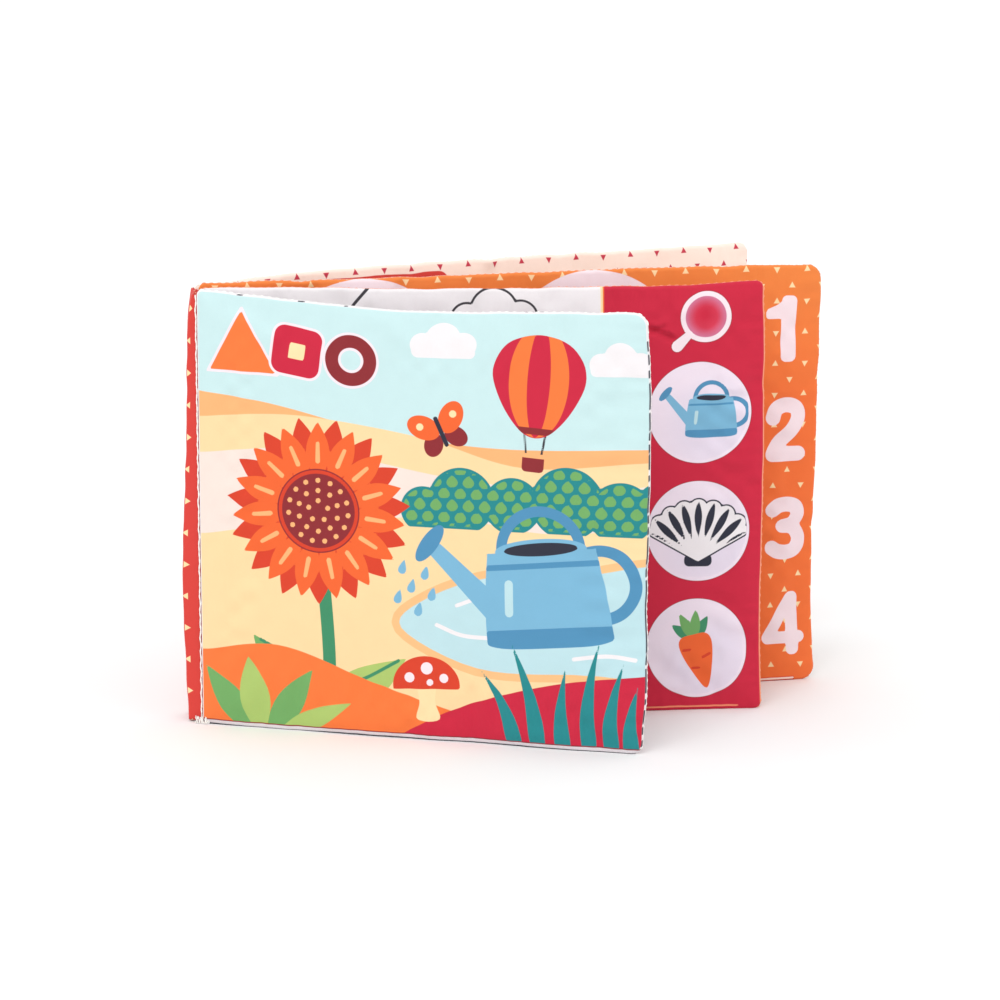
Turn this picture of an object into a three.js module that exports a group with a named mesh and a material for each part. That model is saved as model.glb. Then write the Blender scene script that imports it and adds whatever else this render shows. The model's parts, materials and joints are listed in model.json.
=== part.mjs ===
// A soft cloth book for drawing with water. It stands fanned open on its lower edges: four padded leaves of
// stepped width, hinged one to the next by a scalloped cloth spine. Millimetres, +Z up, front towards -Y.
import * as THREE from 'three';

const { degToRad, lerp } = THREE.MathUtils;

// Leaves
const PAGE_HEIGHT = 170;
const FRONT_COVER_WIDTH = 177;
const SECOND_LEAF_WIDTH = 219;
const THIRD_LEAF_WIDTH = 252;
const BACK_COVER_WIDTH = 252;
const LEAF_THICKNESS = 5;
const SHUT_GAP = 1;
const CLOTH = 0.65;
const FREE_CORNER_RADIUS = 6;
const HINGE_CORNER_RADIUS = 2.5;
const WADDING_CORNER_RADIUS = 9;
const LEAST_CORNER_RADIUS = 0.3;

// Padding: how fast a leaf swells in from its edge, and how far the top and the free edge draw in
const CROWN_RUN = 4;
const EDGE_PULL = 1.2;
const PULL_RUN = 25;

// Seams
const SEAM_GAP = 0.3;
const SEAM_INSET = 1.5;
const SEAM_ALLOWANCE = 4;
const EDGE_THREAD = 0.5;
const HINGE_THREAD = 0.5;
const HINGE_EDGE = 4;
const SEWN_SIDES = 3;

// Spine
const SPINE_BULGE = 2.6;
const SPINE_CLOTH = 0.8;
const SPINE_END_INSET = 0.8;

// Turns as the book stands, in degrees: of the back cover from the X axis, and of each other leaf from the
// leaf behind it
const FRONT_COVER_TURN = 19.9;
const SECOND_LEAF_TURN = 9.2;
const THIRD_LEAF_TURN = 14.8;
const BACK_COVER_TURN = 28.3;

// Fineness of the meshes, with the crown's rings counted in crown runs from the edge
const CROWN_RINGS = [2, 4, 8];
const CORNER_STEPS = 4;
const SIDE_STEPS = 4;
const PANEL_STEPS = 12;
const THREAD_SIDES = 6;
const THREAD_STEPS = 60;

const FABRIC_ROUGHNESS = 0.9;

// Worked-out sizes
const LEAF_PITCH = LEAF_THICKNESS + SHUT_GAP;
const EDGE_HALF = SEAM_GAP / 2 + CLOTH;
const PANEL_HALF = LEAF_PITCH / 2 - HINGE_THREAD / 2 - SEAM_GAP;
const CROWN_INSETS = CROWN_RINGS.map((runs) => runs * CROWN_RUN);
const RING_INSETS = [0, SEAM_INSET / 2, SEAM_INSET, SEAM_ALLOWANCE, ...CROWN_INSETS];
const WADDING_INSETS = RING_INSETS.filter((inset) => inset >= SEAM_ALLOWANCE);
const CORNER_TURN = Math.PI / 2;

function fabric(color) {
  return new THREE.MeshStandardMaterial({ color, roughness: FABRIC_ROUGHNESS, metalness: 0 });
}

const skyPrint = fabric(0xc8e4e4);
const whitePage = fabric(0xf6f4f2);
const crimsonTab = fabric(0xd02c48);
const orangePrint = fabric(0xf47535);
const peachPrint = fabric(0xfcdccb);
const redPrint = fabric(0xe8504a);
const waddingWhite = fabric(0xf2efe8);
const threadWhite = fabric(0xfaf8f4);

// Half a leaf's thickness at a distance in from its edge.
function halfThickness(inset) {
  const swell = 1 - Math.exp(-inset / CROWN_RUN);
  return EDGE_HALF + (LEAF_THICKNESS / 2 - EDGE_HALF) * swell;
}

// The leaf's outline drawn in by an inset, as [x, z] points. They run anticlockwise as seen from the front,
// from the foot of the hinge edge: a corner, then the side after it, four times. The free edge's corners lose
// the inset from their radius.
function outline(width, inset, freeCorner) {
  const left = HINGE_EDGE + inset;
  const right = HINGE_EDGE + width - inset;
  const foot = inset;
  const top = PAGE_HEIGHT - inset;
  const freeRadius = Math.max(freeCorner - inset, LEAST_CORNER_RADIUS);
  const hingeRadius = Math.max(HINGE_CORNER_RADIUS - inset, LEAST_CORNER_RADIUS);
  const pull = EDGE_PULL * Math.exp(-inset / PULL_RUN);
  const corners = [
    { x: left + hingeRadius, z: foot + hingeRadius, radius: hingeRadius, start: 2, pullX: 0, pullZ: 0 },
    { x: right - freeRadius, z: foot + freeRadius, radius: freeRadius, start: 3, pullX: -pull, pullZ: 0 },
    { x: right - freeRadius, z: top - freeRadius, radius: freeRadius, start: 0, pullX: 0, pullZ: -pull },
    { x: left + hingeRadius, z: top - hingeRadius, radius: hingeRadius, start: 1, pullX: 0, pullZ: 0 },
  ];
  const arcs = corners.map(cornerArc);
  return arcs.flatMap((arc, k) => {
    const from = arc[CORNER_STEPS];
    const to = arcs[(k + 1) % arcs.length][0];
    return [...arc, ...sidePoints(from, to, corners[k].pullX, corners[k].pullZ)];
  });
}

function cornerArc({ x, z, radius, start }) {
  return Array.from({ length: CORNER_STEPS + 1 }, (_, k) => {
    const angle = CORNER_TURN * (start + k / CORNER_STEPS);
    return [x + radius * Math.cos(angle), z + radius * Math.sin(angle)];
  });
}

// The points between two corners, drawn in most at the middle of the side.
function sidePoints(from, to, pullX, pullZ) {
  return Array.from({ length: SIDE_STEPS - 1 }, (_, k) => {
    const share = (k + 1) / SIDE_STEPS;
    const bow = 1 - (2 * share - 1) ** 2;
    const x = lerp(from[0], to[0], share) + pullX * bow;
    const z = lerp(from[1], to[1], share) + pullZ * bow;
    return [x, z];
  });
}

function ringAt(width, inset, y, freeCorner = FREE_CORNER_RADIUS) {
  return outline(width, inset, freeCorner).map(([x, z]) => new THREE.Vector3(x, y, z));
}

// A closed skin through a row of equal rings that runs from front to back, with both ends capped.
function loft(rings) {
  const count = rings[0].length;
  const points = rings.flat();
  const index = [];
  const caps = [rings[0], rings.at(-1)].map((ring) => {
    const middle = new THREE.Vector3();
    ring.forEach((point) => middle.addScaledVector(point, 1 / count));
    return points.push(middle) - 1;
  });
  const last = (rings.length - 1) * count;
  for (let i = 0; i < count; i += 1) {
    const next = (i + 1) % count;
    index.push(caps[0], i, next);
    index.push(caps[1], last + next, last + i);
    for (let row = 0; row < last; row += count) {
      const ahead = row + count;
      index.push(row + i, ahead + i, ahead + next);
      index.push(row + i, ahead + next, row + next);
    }
  }
  const geometry = new THREE.BufferGeometry().setFromPoints(points);
  geometry.setIndex(index);
  geometry.computeVertexNormals();
  return geometry;
}

// One cloth of a leaf: a shell from its swollen outside, round the sewn edge, to its inside.
function clothGeometry(width, side) {
  const outside = RING_INSETS.map((inset) => ringAt(width, inset, side * halfThickness(inset)));
  const inside = RING_INSETS.map((inset) => ringAt(width, inset, side * (halfThickness(inset) - CLOTH)));
  const rings = [...outside.reverse(), ...inside];
  return loft(side < 0 ? rings : rings.reverse());
}

function waddingGeometry(width) {
  const corner = SEAM_ALLOWANCE + WADDING_CORNER_RADIUS;
  const half = (inset) => halfThickness(inset) - CLOTH - SEAM_GAP;
  const front = WADDING_INSETS.map((inset) => ringAt(width, inset, -half(inset), corner));
  const back = WADDING_INSETS.map((inset) => ringAt(width, inset, half(inset), corner));
  return loft([...front.reverse(), ...back]);
}

// The edge seam's thread: one tube along the foot, the free edge and the top, between the two cloths.
function edgeSeamGeometry(width) {
  const cornerAndSide = CORNER_STEPS + SIDE_STEPS;
  const points = ringAt(width, SEAM_INSET, 0).slice(CORNER_STEPS, SEWN_SIDES * cornerAndSide + 1);
  const section = new THREE.Shape();
  section.absarc(0, 0, EDGE_THREAD / 2, 0, 2 * Math.PI);
  return new THREE.ExtrudeGeometry(section, {
    extrudePath: new THREE.CatmullRomCurve3(points),
    steps: THREAD_STEPS,
    curveSegments: THREAD_SIDES / 2,
  });
}

// The hinge seam's thread: a straight bead along the leaf's inner edge, between the spine panels.
function hingeSeamGeometry() {
  const radius = HINGE_THREAD / 2;
  const length = PAGE_HEIGHT - 2 * SPINE_END_INSET;
  const geometry = new THREE.CylinderGeometry(radius, radius, length, THREAD_SIDES);
  geometry.rotateX(CORNER_TURN);
  geometry.translate(HINGE_EDGE - SEAM_GAP - radius, 0, PAGE_HEIGHT / 2);
  return geometry;
}

// One face of a spine panel in plan, about its hinge line: a leg at the far leaf, a half ellipse, and a leg
// at the near leaf. Each point takes its share of the near leaf's turn, so both legs lie along their leaves.
function panelFace(half, bulge, turn) {
  const leg = HINGE_EDGE - SEAM_GAP;
  const hinge = new THREE.Vector2();
  const face = [new THREE.Vector2(leg, half)];
  for (let k = 0; k <= PANEL_STEPS; k += 1) {
    const share = k / PANEL_STEPS;
    const angle = CORNER_TURN * (1 + 2 * share);
    const point = new THREE.Vector2(bulge * Math.cos(angle), half * Math.sin(angle));
    face.push(point.rotateAround(hinge, -turn * share));
  }
  face.push(new THREE.Vector2(leg, -half).rotateAround(hinge, -turn));
  return face;
}

function spinePanelGeometry(turn) {
  const outside = panelFace(PANEL_HALF, SPINE_BULGE, turn);
  const inside = panelFace(PANEL_HALF - SPINE_CLOTH, SPINE_BULGE - SPINE_CLOTH, turn);
  const shape = new THREE.Shape([...outside, ...inside.reverse()]);
  const geometry = new THREE.ExtrudeGeometry(shape, {
    depth: PAGE_HEIGHT - 2 * SPINE_END_INSET,
    bevelEnabled: false,
  });
  geometry.translate(0, 0, SPINE_END_INSET);
  return geometry;
}

function piece(name, geometry, material) {
  const mesh = new THREE.Mesh(geometry, material);
  mesh.name = name;
  return mesh;
}

// A leaf lies in the XZ plane from its hinge line at X = 0, with its front towards -Y.
function leaf({ name, width, frontCloth, backCloth }) {
  const group = new THREE.Group();
  group.add(piece(`${name}_front_cloth`, clothGeometry(width, -1), frontCloth));
  group.add(piece(`${name}_back_cloth`, clothGeometry(width, 1), backCloth));
  group.add(piece(`${name}_wadding`, waddingGeometry(width), waddingWhite));
  group.add(piece(`${name}_edge_seam`, edgeSeamGeometry(width), threadWhite));
  group.add(piece(`${name}_hinge_seam`, hingeSeamGeometry(), threadWhite));
  return group;
}

// Hinges the near leaf to the front of the far one, with the spine panel that joins them.
function hingeLeaf(farLeaf, nearLeaf, panelName, turn) {
  const panel = piece(panelName, spinePanelGeometry(turn), redPrint);
  panel.position.y = -LEAF_PITCH / 2;
  const hinge = new THREE.Group();
  hinge.position.y = -LEAF_PITCH / 2;
  hinge.rotation.z = -turn;
  nearLeaf.position.y = -LEAF_PITCH / 2;
  hinge.add(nearLeaf);
  farLeaf.add(panel, hinge);
}

const frontCover = leaf({
  name: 'front_cover',
  width: FRONT_COVER_WIDTH,
  frontCloth: skyPrint,
  backCloth: whitePage,
});
const secondLeaf = leaf({
  name: 'second_leaf',
  width: SECOND_LEAF_WIDTH,
  frontCloth: crimsonTab,
  backCloth: crimsonTab,
});
const thirdLeaf = leaf({
  name: 'third_leaf',
  width: THIRD_LEAF_WIDTH,
  frontCloth: orangePrint,
  backCloth: orangePrint,
});
const backCover = leaf({
  name: 'back_cover',
  width: BACK_COVER_WIDTH,
  frontCloth: peachPrint,
  backCloth: redPrint,
});

hingeLeaf(backCover, thirdLeaf, 'spine_panel_back', degToRad(THIRD_LEAF_TURN));
hingeLeaf(thirdLeaf, secondLeaf, 'spine_panel_middle', degToRad(SECOND_LEAF_TURN));
hingeLeaf(secondLeaf, frontCover, 'spine_panel_front', degToRad(FRONT_COVER_TURN));
backCover.rotation.z = degToRad(BACK_COVER_TURN);

// The origin is under the middle of the standing book.
const book = new THREE.Group();
book.add(backCover);
const box = new THREE.Box3().setFromObject(book, true);
const middle = box.getCenter(new THREE.Vector3());
book.position.set(-middle.x, -middle.y, -box.min.z);

export default book;
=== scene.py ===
"""The looks of a soft cloth book for drawing with water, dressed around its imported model.

Four padded leaves of stepped width stand fanned open on their lower edges, joined by a scalloped cloth
spine. Lengths are millimetres in a leaf's own flat frame: x from its sewn edge, y from front to back and z
from its foot. A print is a row of inks laid one over the next. Each ink is kept on the cloth as a signed
distance to the border of its shape, and the material turns that distance into a crisp edge.
"""

import json
import logging
import math
from dataclasses import dataclass, field
from enum import Enum
from itertools import zip_longest

import bpy
import numpy as np
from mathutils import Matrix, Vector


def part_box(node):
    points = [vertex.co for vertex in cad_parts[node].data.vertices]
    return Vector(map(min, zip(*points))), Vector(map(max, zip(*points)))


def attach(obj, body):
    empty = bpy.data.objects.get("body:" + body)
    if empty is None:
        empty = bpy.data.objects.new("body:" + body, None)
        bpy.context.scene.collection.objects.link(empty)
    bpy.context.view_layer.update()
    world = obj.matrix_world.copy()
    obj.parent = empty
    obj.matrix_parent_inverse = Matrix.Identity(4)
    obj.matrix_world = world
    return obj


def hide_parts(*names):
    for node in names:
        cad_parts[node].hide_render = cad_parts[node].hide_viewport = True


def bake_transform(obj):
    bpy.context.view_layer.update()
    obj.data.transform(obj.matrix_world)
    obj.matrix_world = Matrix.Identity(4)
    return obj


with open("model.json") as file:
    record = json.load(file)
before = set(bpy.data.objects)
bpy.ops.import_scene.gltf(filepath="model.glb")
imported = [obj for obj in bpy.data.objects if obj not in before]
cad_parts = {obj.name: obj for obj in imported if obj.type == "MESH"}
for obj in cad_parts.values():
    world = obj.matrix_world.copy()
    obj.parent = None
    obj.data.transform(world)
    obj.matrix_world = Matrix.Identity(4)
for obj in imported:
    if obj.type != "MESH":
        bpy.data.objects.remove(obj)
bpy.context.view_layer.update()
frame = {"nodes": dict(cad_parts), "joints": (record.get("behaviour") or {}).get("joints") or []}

LOG = logging.getLogger("cloth_book")
MM = 0.001
Array = np.ndarray
Point = tuple[float, float]

# How inks are laid, in millimetres
CRISP = 0.11
TRIANGLE_PITCH = 12.6
TRIANGLE_RISE = 6.2
TRIANGLE_INNER = 0.75
TRIANGLE_SHIFT = 1.0
DRAWN_LINE = 0.9
THIN_PART = 1.25
FAR_AWAY = 99.0

# Where the prints lie, in millimetres
FOOT_ROLL = 2.4
COVER_FOOT = 2.0
TAB_START = 156.0
LENS_PLACE = (195.9, 157.4)
DISC_X = 193.6
DISC_Z = (119.9, 72.7, 25.5)
DISC_RADIUS = 20.0
BIG_DISC_X = (64.7, 157.0)
BIG_DISC_Z = (129.2, 44.5)
BIG_DISC_RADIUS = 40.8
NUMBER_X = (236.5, 238.3, 239.5, 240.8)
NUMBER_Z = (145.1, 104.5, 63.8, 24.3)
PANEL_END = 115.5
PANEL_Z = 88.0


class Ink(Enum):
    """Inks and cloth colours, as screen values from 0 to 255."""

    SKY = (199, 228, 229)
    DUNE = (240, 222, 212)
    SAND = (247, 214, 162)
    SAND_DEEP = (243, 190, 132)
    APRICOT = (248, 178, 118)
    HILL = (243, 120, 56)
    FLAME = (238, 100, 44)
    EMBER = (214, 62, 34)
    CRIMSON = (202, 29, 60)
    CRIMSON_LIGHT = (220, 62, 88)
    MAUVE = (206, 118, 150)
    WINE = (139, 38, 44)
    LIME = (170, 197, 108)
    GREEN = (112, 169, 98)
    LEAF = (60, 140, 100)
    TEAL = (28, 134, 138)
    WATER = (188, 221, 227)
    BLUE = (121, 179, 210)
    BLUE_DEEP = (78, 142, 182)
    NIGHT = (42, 44, 60)
    LINE = (58, 54, 60)
    WHITE = (239, 234, 236)
    BLUSH = (245, 228, 234)
    PEARL = (241, 227, 239)
    LILAC = (231, 220, 235)
    CREAM = (252, 222, 170)
    ORANGE = (241, 114, 52)
    # painted highlight colour, laid softly over the third leaf's orange towards its top
    HIGHLIGHT_ORANGE = (234, 142, 66)
    PEACH = (255, 232, 219)
    ROSE = (199, 54, 76)
    RED = (214, 62, 54)
    SALMON = (246, 150, 112)
    # painted shade: white cloth as it looks in shade
    SHADE = (222, 214, 218)
    THREAD = (248, 245, 240)

    def linear(self) -> tuple[float, ...]:
        """The colour as linear light, with full cover.

        Returns:
            Red, green, blue and cover.
        """
        share = np.array(self.value) / 255
        light = np.where(share <= 0.04045, share / 12.92, ((share + 0.055) / 1.055) ** 2.4)
        return (*light.tolist(), 1.0)


class Print(Enum):
    """How an ink covers its shape: filled, as a line round a blank page, or as rows of small triangles."""

    FILLED = "filled"
    DRAWN = "drawn"
    TRIANGLES = "triangles"


def smooth_path(points: list[Point], closed: bool = False, steps: int = 10) -> Array:
    """A Catmull-Rom curve: between two points a cubic, whose end slopes are half their neighbours' chord.

    Args:
        points: The points that the curve passes through.
        closed: Whether the last point leads back to the first.
        steps: Points on each stretch.

    Returns:
        The curve's points, two columns.
    """
    knots = np.asarray(points, float)
    if closed:
        padded = np.concatenate([knots[-1:], knots, knots[:2]])
    else:
        padded = np.concatenate([2 * knots[:1] - knots[1:2], knots, 2 * knots[-1:] - knots[-2:-1]])
    count = len(padded) - 3
    a, b, c, d = (padded[k:k + count] for k in range(4))
    t = np.linspace(0, 1, steps, endpoint=False)[:, None, None]
    curve = (2 * b + (c - a) * t + (2 * a - 5 * b + 4 * c - d) * t**2 + (3 * b - a - 3 * c + d) * t**3) / 2
    path = curve.transpose(1, 0, 2).reshape(-1, 2)
    return path if closed else np.concatenate([path, knots[-1:]])


def ripple(along: Array, length: float, rng: np.random.Generator) -> Array:
    """A sum of five sines whose wavelengths lie round a length, with drawn phases and about unit height.

    Args:
        along: Where the ripple is wanted, in millimetres.
        length: The middle wavelength.
        rng: The source of the draws.

    Returns:
        The ripple's height at each place.
    """
    waves = length * rng.uniform(0.7, 1.6, 5)
    phases = rng.uniform(0, 2 * math.pi, 5)
    turns = 2 * math.pi * along[..., None] / waves + phases
    return np.sin(turns).sum(-1) / math.sqrt(5)


def billow(x: Array, z: Array, length: float, rng: np.random.Generator) -> Array:
    """A sum of nine plane waves in drawn directions, with about unit height.

    Args:
        x: Places across the leaf.
        z: Places up the leaf.
        length: The middle wavelength.
        rng: The source of the draws.

    Returns:
        The height at each place.
    """
    total = np.zeros_like(x)
    for angle in rng.uniform(0, math.pi, 9):
        wave = length * rng.uniform(0.7, 1.6)
        turn = 2 * math.pi * (x * math.cos(angle) + z * math.sin(angle)) / wave
        total += np.sin(turn + rng.uniform(0, 2 * math.pi))
    return total / 3


@dataclass
class Pencil:
    """Draws shapes as signed distances in millimetres, negative inside, over a grid of places on a cloth."""

    x: Array
    z: Array
    scale: float = 1.0

    def moved(self, x: float, z: float, scale: float = 1.0, lean: float = 0.0) -> "Pencil":
        """The same cloth seen from a new origin, turned and scaled.

        Args:
            x: The new origin's place across.
            z: The new origin's place up.
            scale: How many millimetres one drawn millimetre takes.
            lean: The turn of the new axes, in degrees anticlockwise.

        Returns:
            A pencil that draws in the new axes.
        """
        cosine, sine = math.cos(math.radians(lean)), math.sin(math.radians(lean))
        side, up = (self.x - x) / scale, (self.z - z) / scale
        return Pencil(side * cosine + up * sine, up * cosine - side * sine, self.scale * scale)

    def spokes(self, count: int, turn: float = 0.0) -> "Pencil":
        """Folds the plane round the origin, so that a shape on the upward axis repeats in equal sectors.

        Args:
            count: How many sectors there are.
            turn: How far the first is turned, in sectors.

        Returns:
            A pencil that draws in every sector at once.
        """
        sector = 2 * math.pi / count
        angle = np.arctan2(self.x, self.z) - turn * sector
        angle = np.mod(angle + sector / 2, sector) - sector / 2
        reach = np.hypot(self.x, self.z)
        return Pencil(reach * np.sin(angle), reach * np.cos(angle), self.scale)

    def rows(self, pitch: float, rise: float) -> "Pencil":
        """Folds the plane into cells in rows, each row shifted by half a cell from the one below.

        Args:
            pitch: The spacing of the cells in a row.
            rise: The spacing of the rows.

        Returns:
            A pencil that draws in every cell at once.
        """
        row = np.round(self.z / rise)
        side = self.x - pitch / 2 * np.mod(row, 2)
        return Pencil(side - np.round(side / pitch) * pitch, self.z - row * rise, self.scale)

    def disc(self, x: float, z: float, radius: float) -> Array:
        """Distance to a circle's rim."""
        return (np.hypot(self.x - x, self.z - z) - radius) * self.scale

    def ring(self, x: float, z: float, radius: float, width: float) -> Array:
        """Distance to a band of a width along a circle."""
        return np.abs(self.disc(x, z, radius)) - width / 2 * self.scale

    def oval(self, x: float, z: float, wide: float, high: float, lean: float = 0.0) -> Array:
        """Nearly the distance to an ellipse: its scaled radius less one, over the slope of that radius.

        Args:
            x: The middle's place across.
            z: The middle's place up.
            wide: Half the width.
            high: Half the height.
            lean: Its turn, in degrees anticlockwise.

        Returns:
            The signed distance at each place.
        """
        local = self.moved(x, z, lean=lean)
        reach = np.hypot(local.x / wide, local.z / high) + 1e-9
        slope = np.hypot(local.x / wide**2, local.z / high**2) + 1e-9 / max(wide, high)
        return reach * (reach - 1) / slope * self.scale

    def slab(self, x: float, z: float, wide: float, high: float, corner: float = 0.0,
             lean: float = 0.0) -> Array:
        """Distance to a rectangle with round corners: that of the smaller sharp one, less the radius.

        Args:
            x: The middle's place across.
            z: The middle's place up.
            wide: The whole width.
            high: The whole height.
            corner: The radius of the corners.
            lean: Its turn, in degrees anticlockwise.

        Returns:
            The signed distance at each place.
        """
        local = self.moved(x, z, lean=lean)
        side = np.abs(local.x) - wide / 2 + corner
        up = np.abs(local.z) - high / 2 + corner
        outer = np.hypot(np.maximum(side, 0), np.maximum(up, 0))
        return (outer + np.minimum(np.maximum(side, up), 0) - corner) * self.scale

    def bar(self, start: Point, end: Point, width: float, end_width: float | None = None) -> Array:
        """Distance to a straight stroke with round ends, whose width may change evenly along it.

        Args:
            start: Where the stroke starts.
            end: Where it ends.
            width: Its width.
            end_width: Its width at the end, if that is another.

        Returns:
            The signed distance at each place.
        """
        run = (end[0] - start[0], end[1] - start[1])
        side, up = self.x - start[0], self.z - start[1]
        share = np.clip((side * run[0] + up * run[1]) / (run[0] ** 2 + run[1] ** 2), 0, 1)
        half = (width + share * ((width if end_width is None else end_width) - width)) / 2
        return (np.hypot(side - share * run[0], up - share * run[1]) - half) * self.scale

    def stroke(self, points: list[Point], width: float) -> Array:
        """Distance to a stroke along a smooth curve: the least of those to its short straight runs.

        Args:
            points: What the curve passes through.
            width: The stroke's width.

        Returns:
            The signed distance at each place.
        """
        path = smooth_path(points, steps=5)
        runs = [self.bar(tuple(a), tuple(b), width) for a, b in zip(path[:-1], path[1:])]
        return np.minimum.reduce(runs)

    def patch(self, points: list[Point], smooth: bool = True) -> Array:
        """Distance to a closed outline: to its nearest edge, signed by how many edges lie to the right.

        Args:
            points: The outline's points.
            smooth: Whether the outline curves through them, or has straight edges.

        Returns:
            The signed distance at each place.
        """
        path = smooth_path(points, closed=True, steps=6) if smooth else np.asarray(points, float)
        nearest = np.full(self.x.shape, np.inf)
        inside = np.zeros(self.x.shape, bool)
        for (x0, z0), (x1, z1) in zip(path, np.roll(path, -1, 0)):
            run_x, run_z = x1 - x0, z1 - z0
            side, up = self.x - x0, self.z - z0
            share = np.clip((side * run_x + up * run_z) / (run_x**2 + run_z**2), 0, 1)
            nearest = np.minimum(nearest, (side - share * run_x) ** 2 + (up - share * run_z) ** 2)
            crossed = (z0 > self.z) != (z1 > self.z)
            inside ^= crossed & (side < run_x * up / (run_z if abs(run_z) > 1e-9 else 1e-9))
        return np.where(inside, -1, 1) * np.sqrt(nearest) * self.scale

    def sliver(self, foot: Point, tip: Point, width: float, bend: float = 0.0, belly: float = 1.0) -> Array:
        """Distance to a pointed leaf: a bent midrib, with half widths that follow half a sine wave.

        Args:
            foot: Where the leaf starts.
            tip: Where it ends.
            width: Its greatest width.
            bend: How far its midrib bows to the left.
            belly: One puts the greatest width halfway, and less puts it nearer the foot.

        Returns:
            The signed distance at each place.
        """
        share = np.linspace(0, 1, 11)[:, None]
        start, end = np.array(foot), np.array(tip)
        left = np.array([start[1] - end[1], end[0] - start[0]]) / np.hypot(*(end - start))
        midrib = start + share * (end - start) + left * bend * np.sin(math.pi * share)
        half = left * width / 2 * np.sin(math.pi * share**belly)
        path = np.concatenate([midrib + half, (midrib - half)[-2:0:-1]])
        return self.patch(path.tolist(), smooth=False)

    def below(self, points: list[Point]) -> Array:
        """Nearly the distance to the ground under a smooth line: the height over it, over the line's slope.

        Args:
            points: The line's points, from left to right.

        Returns:
            The signed distance at each place.
        """
        path = smooth_path(points)
        slope = np.interp(self.x, path[:, 0], np.gradient(path[:, 1], path[:, 0]))
        line = np.interp(self.x, path[:, 0], path[:, 1])
        return (self.z - line) / np.hypot(1, slope) * self.scale

    def triangle(self, inner: float) -> Array:
        """Nearly the distance to an upright triangle with equal sides, whose inner circle has a radius."""
        sides = np.abs(self.x) * math.sqrt(0.75) + self.z / 2
        return (np.maximum(sides, -self.z) - inner) * self.scale


@dataclass
class Layer:
    """An ink, the signed distance to its shape's border, half that border's width, and how it is printed."""

    ink: Ink
    distance: Array | None = None
    soft: float = CRISP
    kind: Print = Print.FILLED
    page: Ink = Ink.WHITE


@dataclass
class Canvas:
    """One printed face: where its places are, how large it is, and the inks laid on it in order."""

    pencil: Pencil
    inset: Array
    width: float
    height: float
    layers: list[Layer] = field(default_factory=list)

    def paint(self, ink: Ink, *shapes: Array, within: Array | None = None, soft: float = CRISP) -> None:
        """Lays an ink over some shapes.

        Args:
            ink: The ink.
            shapes: The shapes, whose union is covered.
            within: A shape beyond which no ink goes.
            soft: Half the width of the ink's border, in millimetres.
        """
        joined = np.minimum.reduce(shapes)
        if within is not None:
            joined = np.maximum(joined, within * soft / CRISP)
        self.layers.append(Layer(ink, joined, soft))

    def triangles(self, ink: Ink) -> None:
        """Prints rows of small triangles, which the material works out by itself."""
        self.layers.append(Layer(ink, kind=Print.TRIANGLES))

    def picture(self, motif: "Motif", within: Array | None = None) -> None:
        """Prints a picture in full colour."""
        for ink, shape in motif.parts(self.pencil):
            self.paint(ink, shape, within=within)

    def drawing(self, stacks: list[list["Motif"]], page: Ink) -> None:
        """Prints pictures in lines, each part hiding the lines that lie behind it.

        Parts that come at the same depth in different stacks share a layer. A part that is too thin for an
        outline is printed solid.

        Args:
            stacks: Pictures that overlap, from the back to the front. The stacks lie apart from one another.
            page: The colour that a part is blank in.
        """
        piles = [[shape for motif in stack for _, shape in motif.parts(self.pencil)] for stack in stacks]
        broad = [[shape for shape in pile if shape.min() < -THIN_PART] for pile in piles]
        for level in zip_longest(*broad):
            joined = np.minimum.reduce([shape for shape in level if shape is not None])
            self.layers.append(Layer(Ink.LINE, joined, kind=Print.DRAWN, page=page))
        thin = [shape for pile in piles for shape in pile if shape.min() >= -THIN_PART]
        if thin:
            self.paint(Ink.LINE, *thin)


@dataclass(frozen=True)
class Motif:
    """A garden picture, drawn in its own millimetres round its own origin."""

    x: float
    z: float
    scale: float = 1.0
    lean: float = 0.0

    def parts(self, pencil: Pencil) -> list[tuple[Ink, Array]]:
        """The picture's inks and shapes, from the back to the front."""
        return self.shapes(pencil.moved(self.x, self.z, self.scale, self.lean))

    def shapes(self, pen: Pencil) -> list[tuple[Ink, Array]]:
        """The inks and shapes in the picture's own axes."""
        raise NotImplementedError


class Sunflower(Motif):
    """A round flower with two rings of petals and a dotted heart."""

    def shapes(self, pen: Pencil) -> list[tuple[Ink, Array]]:
        """Petals are slivers on spokes, and the seeds are rings of dots.

        Args:
            pen: A pencil in the picture's own axes.

        Returns:
            Inks and shapes, from the back to the front.
        """
        behind = pen.spokes(15, 0.5).sliver((0, 11), (0, 37), 10.5)
        front = pen.spokes(15).sliver((0, 11), (0, 35), 9.5)
        ribs = pen.spokes(15).bar((0, 19.5), (0, 26.5), 1.9, 1.5)
        seeds = [pen.spokes(count).disc(0, reach, 1.05) for count, reach in ((5, 4), (10, 8), (15, 12))]
        return [
            (Ink.EMBER, behind),
            (Ink.FLAME, front),
            (Ink.APRICOT, ribs),
            (Ink.WINE, pen.disc(0, 0, 16.5)),
            (Ink.EMBER, pen.ring(0, 0, 15.3, 1.4)),
            (Ink.APRICOT, np.minimum.reduce(seeds)),
        ]


class Stalk(Motif):
    """A flower's stalk with two broad leaves, hanging from the flower's middle."""

    def shapes(self, pen: Pencil) -> list[tuple[Ink, Array]]:
        """The stalk is a curved stroke, and each leaf a sliver with a lighter half.

        Args:
            pen: A pencil in the picture's own axes.

        Returns:
            Inks and shapes, from the back to the front.
        """
        left = pen.sliver((4, -74), (-27, -50), 15, 4, 0.8)
        right = pen.sliver((5, -70), (35, -56), 13, -3, 0.8)
        left_vein = pen.stroke([(4, -74), (-8, -61), (-24, -52)], 1.3)
        right_vein = pen.stroke([(5, -70), (18, -65), (32, -57)], 1.3)
        return [
            (Ink.LEAF, pen.stroke([(0, -10), (3, -40), (4, -66), (2, -92)], 5.2)),
            (Ink.GREEN, left),
            (Ink.LIME, right),
            (Ink.LEAF, np.minimum(left_vein, right_vein)),
        ]


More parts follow.
